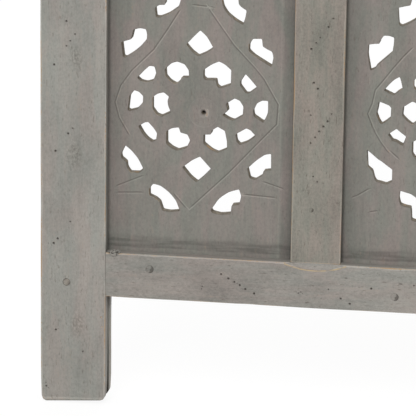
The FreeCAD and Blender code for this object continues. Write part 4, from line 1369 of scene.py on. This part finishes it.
class Scribing:
    """Knows how near the marking knife came to any point of a board's front, and how deep it went."""

    def __init__(self, lines):
        self.lines = [dense(line, 4 * MM) for line in lines]
        self.spots = [(line, number) for line in self.lines for number in range(len(line))]
        self.tree = KDTree(len(self.spots))
        for place, (line, number) in enumerate(self.spots):
            self.tree.insert((line[number].x, line[number].y, 0), place)
        self.tree.balance()

    def nearest(self, spot):
        """How far the nearest line is, and the way to the point from it."""
        far, way = 1.0, Vector((0, 0))
        for _, place, _ in self.tree.find_n((spot.x, spot.y, 0), 3):
            line, number = self.spots[place]
            for before, after in ((number - 1, number), (number, number + 1)):
                if 0 <= before and after < len(line):
                    foot, share = intersect_point_line(spot, line[before], line[after])
                    foot = foot.xy if 0 <= share <= 1 else line[before] if share < 0 else line[after]
                    # A line starts and ends at nothing.
                    if min((foot - line[0]).length, (foot - line[-1]).length) > 0.01 * MM:
                        if (foot - spot).length < far:
                            far, way = (foot - spot).length, spot - foot
        return far, way

    def depth(self, spot):
        return LINE_DEPTH * max(0.0, 1 - self.nearest(spot)[0] / LINE_HALF)


HUB = turned("hub", [(11.1 * MM, 0), (10.8 * MM, 0.13 * MM), (10.0 * MM, 0.16 * MM), (4.4 * MM, 0.21 * MM),
                     (3.1 * MM, 0.22 * MM), (2.2 * MM, 0.32 * MM), (1.4 * MM, 1.1 * MM), (1.15 * MM, 5 * MM)],
             32, (0, BOARD_FRONT, 0))
HUB.hide_render = True

# %% [markdown]
# A board is closed like the frame's faces: the saw cuts' walls and the hubs' shallow turned dishes come first, and
# then each flat face is filled with triangles between them and the board's four sides. The scribed lines are drawn
# into the front's triangles, and their middle is pressed in.

# %% Boards
def close_board(piece, low, high, scribed):
    """Fills both flats and the four sides of a board whose saw cuts and hubs are there already."""
    work = bmesh.new()
    work.from_mesh(piece.data)
    rings = []
    for level, scribing in ((low.y, scribed), (high.y, None)):
        corners = [work.verts.new((x, level, z)) for x, z in
                   ((low.x, low.z), (high.x, low.z), (high.x, high.z), (low.x, high.z))]
        fill_flat(work, level, corners, scribing)
        rings.append(corners)
    for number in range(4):
        after = (number + 1) % 4
        work.faces.new((rings[0][number], rings[0][after], rings[1][after], rings[1][number]))
    return finished(work, piece)


def draw_board(leaf, side, shift, luck):
    """The holes and scribed lines of a board's medallions, and the middles of their hubs."""
    holes, lines, hubs = [], [], []
    for number in range(MEDALLIONS):
        centre = Vector(((OPENING_LOW[0] + OPENING_HIGH[0]) / 2 + shift, FIRST_MEDALLION + number * MEDALLION_STEP))
        hub = Vector((4.4, -4.4)) * MM
        if leaf == "left_leaf" and side == "left" and number == 0:
            centre.x -= 2.5 * MM
            here, scribed = medallion(LEFT_HOLES, LEFT_LINES, centre)
        elif leaf == "left_leaf" and number == 0:
            here, scribed = medallion(RIGHT_HOLES, RIGHT_LINES, centre)
            middle = centre + Vector((3.5, 0.5)) * MM
            here += medallion([LEFT_HOLES[n] for n in BEYOND_THE_PICTURE], (), middle, luck)[0]
            scribed += [[Vector((2 * middle.x - spot.x, spot.y)) for spot in line] for line in scribed]
        else:
            centre += Vector((luck.uniform(-1.5, 1.5), luck.uniform(-1.0, 1.0))) * MM
            here, scribed = medallion(LEFT_HOLES, LEFT_LINES, centre, luck, luck.choice((-1, 1)))
            hub = Vector((luck.uniform(-3, 3), luck.uniform(-3, 3))) * MM
        holes += here
        lines += scribed
        hubs.append(centre + hub)
    return holes, lines, hubs


# %% [markdown]
# Every point of a board gets its rubbed, dirty or shaded value from where it lies: beside a scribed line, in a hub,
# on the rubbed rim of a saw cut, or deep in a cut. A scribed line is pale in its middle, and on its upper left side,
# turned from the light, it gets a strip of painted shade.

# %% The six boards
def board_wear_and_shading(spot, scribed, hub, seed):
    """How rubbed (up to 1) a board is at one of its points, or how dark with dirt and painted shade (down to -1). Hub
    is the way from the nearest.
    """
    depth = (spot.y - BOARD_FRONT) / MM
    from_face = min(depth, BOARD_MM - depth)
    if depth < 0.02:
        # The light comes from the upper left, so a line's upper left side, turned from it, gets a strip of painted
        # shade.
        far, way = scribed.nearest(spot.xz)
        return -0.52 if 0.7 * LINE_HALF < far < 1.3 * LINE_HALF and way.y > way.x else 0.0
    if from_face < 0.02:
        return 0.0
    if hub.length < 11.4 * MM and depth < 5.1:
        burr = hub.x > 1.2 * MM and hub.y < 2 * MM
        # The small deep hole in the middle of the hub is painted dark, as shade.
        rings = ((1.8, -0.50), (2.6, 0.34 if burr else 0.02), (3.7, 0.40 if burr else 0.13), (10.4, 0.06), (12.0, 0.10))
        return next(value for radius, value in rings if hub.length < radius * MM)
    if depth < 0.7 and abs(depth - 0.10) > 0.012 and abs(depth - 0.40) > 0.012:
        mood = noise.noise(Vector((spot.x * 16, spot.z * 16, seed)))
        return (0.23 + 0.12 * mood) * min(1.0, depth / 0.18)
    if abs(from_face - 0.10) < 0.015 or abs(from_face - 0.40) < 0.015:
        return -0.44 if noise.noise(spot * 70) < 0.36 else 0.44
    return -0.95


def board(leaf, side):
    luck = random.Random(f"{leaf}{side}board")
    shift = 0 if side == "left" else BOARD_SHIFT
    low = Vector((BOARD_LOW[0] + shift, BOARD_FRONT, BOARD_LOW[1]))
    high = Vector((BOARD_HIGH[0] + shift, BOARD_FRONT + BOARD, BOARD_HIGH[1]))
    holes, lines, hubs = draw_board(leaf, side, shift, luck)
    dishes = [copied(HUB, (hub.x, 0, hub.y)) for hub in hubs]
    piece = joined([saw_walls(f"{leaf}_{side}_board_carved", holes, luck)] + dishes)
    piece.hide_render = False
    scribed = Scribing(lines)
    print("open edges:", close_board(piece, low, high, scribed))
    wear, edges, seed = [], [], luck.uniform(0, 90)
    for vertex in piece.data.vertices:
        spot = vertex.co
        nearest = round((spot.z - FIRST_MEDALLION) / MEDALLION_STEP)
        hub = spot.xz - hubs[max(0, min(MEDALLIONS - 1, nearest))]
        wear.append(board_wear_and_shading(spot, scribed, hub, seed))
        edges.append((spot.x - shift - OPENING_LOW[0], OPENING_HIGH[0] + shift - spot.x,
                      spot.z - OPENING_LOW[1], OPENING_HIGH[1] - spot.z))
    write_values(piece, "edges", "FLOAT_COLOR", edges)
    sawn = []
    for face in piece.data.polygons:
        middle = (face.center.y - BOARD_FRONT) / MM
        sawn.append(int(abs(face.normal.y) < 0.5 and 0.35 < middle < BOARD_MM - 0.35))
    piece.data.polygons.foreach_set("material_index", sawn)
    return set_in_place(piece, leaf, [f"{leaf}_{side}_board"], "board_wood", 2, wear,
                        finishes=[WOODS["board_wood"], CUT_WALL], smooth=32)


make_all(board, "left", "right")

# %% [markdown]
# The hinges are plain steel butts, dark from age, with brighter pins and screws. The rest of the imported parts
# keep their own shapes and only get a finish.

# %% Steel
def steel(name, dark, light, rust, rough):
    material, tree, shader = new_material(name)
    where = add_node(tree, "ShaderNodeTexCoord").outputs["Object"]
    cloud = add_node(tree, "ShaderNodeTexNoise", {}, {"Vector": where, "Scale": 160.0, "Detail": 5.0}).outputs["Fac"]
    grit = add_node(tree, "ShaderNodeTexNoise", {}, {"Vector": where, "Scale": 1400.0, "Detail": 3.0}).outputs["Fac"]
    spots = spread(tree, sums(tree, "MULTIPLY_ADD", grit, 0.5, cloud), 0.86, 0.98)
    colour = blended(tree, cloud, dark, light)
    colour = blended(tree, sums(tree, "MULTIPLY", spots, rust), colour, paint(112, 62, 34))
    tree.links.new(colour, shader.inputs["Base Color"])
    tree.links.new(sums(tree, "MULTIPLY_ADD", cloud, 0.3, rough), shader.inputs["Roughness"])
    tree.links.new(sums(tree, "SUBTRACT", 1.0, spots), shader.inputs["Metallic"])
    raise_surface(tree, shader, grit, 0.25, 0.1 * MM)
    return material


METALS = {
    "_plate": steel("dark_hinge_steel", paint(52, 49, 46), paint(84, 80, 75), 0.7, 0.38),
    "_pin": steel("dull_pin_steel", paint(120, 118, 114), paint(160, 157, 150), 0.4, 0.28),
    "_screws": steel("dull_screw_steel", paint(112, 108, 100), paint(150, 145, 134), 0.5, 0.3),
}
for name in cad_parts:
    for ending, finish in METALS.items():
        if name.endswith(ending):
            finishes = bpy.data.objects[name].data.materials
            finishes.clear()
            finishes.append(finish)

# %% [markdown]
# The pegs that pin the tenons are short oak dowels, sawn off flush and painted over with the frame. Their end
# grain stands a hair proud, with a dark ring where the wash has run into the joint and painted shade on the ring's
# left side.

# %% Pegs
def pegs(leaf):
    made = []
    luck = random.Random(f"{leaf}pegs")
    for x, z in peg_places(leaf, "left") + peg_places(leaf, "right"):
        sink = luck.uniform(0.01, 0.06) * MM
        made.append(turned("peg", [(2.2 * MM, sink), (2.45 * MM, sink + 0.04 * MM), (2.5 * MM, sink + 0.14 * MM),
                                   (2.5 * MM, 24.8 * MM), (2.4 * MM, 24.97 * MM), (2.1 * MM, 25.0 * MM)], 20,
                           (x, 0, z)))
    piece = joined(made)
    piece.name = f"{leaf}_sawn_pegs"
    values = [-0.24 + 0.62 * noise.noise(vertex.co * 310) for vertex in piece.data.vertices]
    return set_in_place(piece, leaf, [f"{leaf}_tenon_pegs"], "peg_wood", 1, values, smooth=35)


for leaf in LEAVES:
    print(pegs(leaf).name)

# %% [markdown]
# In the corner between the stile and the bottom rail sits a small lump of grey filler, pressed in and painted
# over. It is a ball squashed to size and pushed about by hand.

# %% Filler
def filler(leaf, place, size, seed):
    """A lump with cracks: the ball is pressed in along the lines where a noise is near nought."""
    bpy.ops.object.select_all(action="DESELECT")
    bpy.ops.mesh.primitive_ico_sphere_add(subdivisions=5, radius=1, location=(0, 0, 0))
    piece = bpy.context.object
    piece.name = f"{leaf}_corner_filler"
    values = []
    for vertex in piece.data.vertices:
        spot = vertex.co
        crack = max(0.0, 1 - 9 * abs(noise.noise(Vector((spot.x * 3.4, spot.y * 1.6, spot.z * 1.2 + seed)))))
        lump = 1 + 0.35 * noise.noise(spot * 1.9 + Vector((seed, 0, 0))) + 0.14 * noise.noise(spot * 6.0)
        spot = spot * (lump - 0.16 * crack)
        # The values paint the cracks much darker and the whole lump a little darker.
        values.append(-0.95 * crack - 0.24)
        vertex.co = Vector((spot.x * size[0], spot.y * size[1], spot.z * size[2])) * MM + Vector(place) * MM
    return set_in_place(piece, leaf, [], "rail_wood", 0, values, smooth=60)


filler("left_leaf", (53.6, 2.4, 114.3), (6.2, 3.2, 2.4), 3.0)

# %% [markdown]
# The camera is worked out from the photograph: a long lens from a little to the right and above, rolled by less
# than a degree. It looks at the left leaf's lower corner, square on to that leaf rather than to the whole screen.

# %% Camera
SIDEWAYS, RAISED, ROLL = math.radians(9.0141), math.radians(14.4112), math.radians(0.7326)
AIM = Vector((122.3944, 0, 152.1043)) * MM
DISTANCE = 2141.7 * MM
back = Vector((math.sin(SIDEWAYS) * math.cos(RAISED), -math.cos(SIDEWAYS) * math.cos(RAISED), math.sin(RAISED)))
right = Vector((math.cos(SIDEWAYS), math.sin(SIDEWAYS), 0))
up = back.cross(right)
facing = Matrix((right, up, back)).transposed().to_4x4()
lens = bpy.data.cameras.new("camera")
lens.sensor_width = 36
lens.lens = 259.6
lens.clip_end = 60
camera = linked("camera", lens)
camera.matrix_world = (LEAVES["left_leaf"] @ Matrix.Translation(AIM + back * DISTANCE) @ facing
                       @ Matrix.Rotation(ROLL, 4, "Z"))
bpy.context.scene.camera = camera
print("camera at", [round(v, 3) for v in camera.matrix_world.translation])

# %% [markdown]
# The picture is a studio shot on pure white with soft, even light from the front and a little from the upper
# left. The floor and the world are white only to the camera and in reflections, so they add no light of their
# own, and the floor still shows a trace of the screen's shadow.

# %% World and floor
def seen_directly(tree):
    path = add_node(tree, "ShaderNodeLightPath")
    either = sums(tree, "MAXIMUM", path.outputs["Is Camera Ray"], path.outputs["Is Glossy Ray"])
    return sums(tree, "MAXIMUM", either, path.outputs["Is Transmission Ray"])


def cleared(owner):
    """The node tree of a world or a material, with nothing in it."""
    owner.use_nodes = True
    owner.node_tree.nodes.clear()
    return owner.node_tree


world = bpy.data.worlds.new("studio")
bpy.context.scene.world = world
tree = cleared(world)
white = add_node(tree, "ShaderNodeBackground", {}, {"Color": (1, 1, 1, 1), "Strength": 1.0}).outputs[0]
dim = add_node(tree, "ShaderNodeBackground", {}, {"Color": (1.0, 0.995, 0.985, 1), "Strength": 0.56}).outputs[0]
mix = add_node(tree, "ShaderNodeMixShader", {}, {0: seen_directly(tree), 1: dim, 2: white}).outputs[0]
add_node(tree, "ShaderNodeOutputWorld", {}, {"Surface": mix})

floor_finish = bpy.data.materials.new("pale_floor")
tree = cleared(floor_finish)
plain = add_node(tree, "ShaderNodeBsdfDiffuse", {}, {"Color": (0.75, 0.75, 0.745, 1)}).outputs[0]
faint = add_node(tree, "ShaderNodeBsdfDiffuse", {}, {"Color": (0.12, 0.12, 0.12, 1)}).outputs[0]
glow = add_node(tree, "ShaderNodeEmission", {}, {"Color": (1, 1, 1, 1), "Strength": 0.905}).outputs[0]
bright = add_node(tree, "ShaderNodeAddShader", {}, {0: faint, 1: glow}).outputs[0]
mix = add_node(tree, "ShaderNodeMixShader", {}, {0: seen_directly(tree), 1: plain, 2: bright}).outputs[0]
add_node(tree, "ShaderNodeOutputMaterial", {}, {"Surface": mix})
bpy.ops.object.select_all(action="DESELECT")
bpy.ops.mesh.primitive_plane_add(size=14, location=(0, 0, -0.5 * MM))
floor = bpy.context.object
floor.name = "floor"
floor.data.materials.append(floor_finish)

# %% [markdown]
# Three square area lights stand round the screen: the key at the front left, a weak fill at the front right and one
# behind it, which keeps the holes' edges and the back from going dark.

# %% Lights
for name, place, aim, size, power in (
        ("key", (-1.6, -2.6, 2.3), (-0.3, 0, 0.6), 1.6, 57),
        ("fill", (2.2, -2.4, 1.5), (0, 0, 0.7), 2.2, 16),
        ("rear", (0.6, 2.8, 2.2), (0, 0, 0.8), 2.2, 34)):
    light = bpy.data.lights.new(name, "AREA")
    light.shape = "SQUARE"
    light.size = size
    light.energy = power
    lamp = linked(name, light)
    away = (Vector(place) - Vector(aim)).to_track_quat("Z", "Y")
    lamp.matrix_world = Matrix.Translation(place) @ away.to_matrix().to_4x4()
bpy.context.scene.view_settings.view_transform = "Standard"

# %% [markdown]
# Last, the tools are cleared from the bench.

# %% Clearing the bench
for tool in (PIT, PLUG, HUB):
    bpy.data.objects.remove(tool)
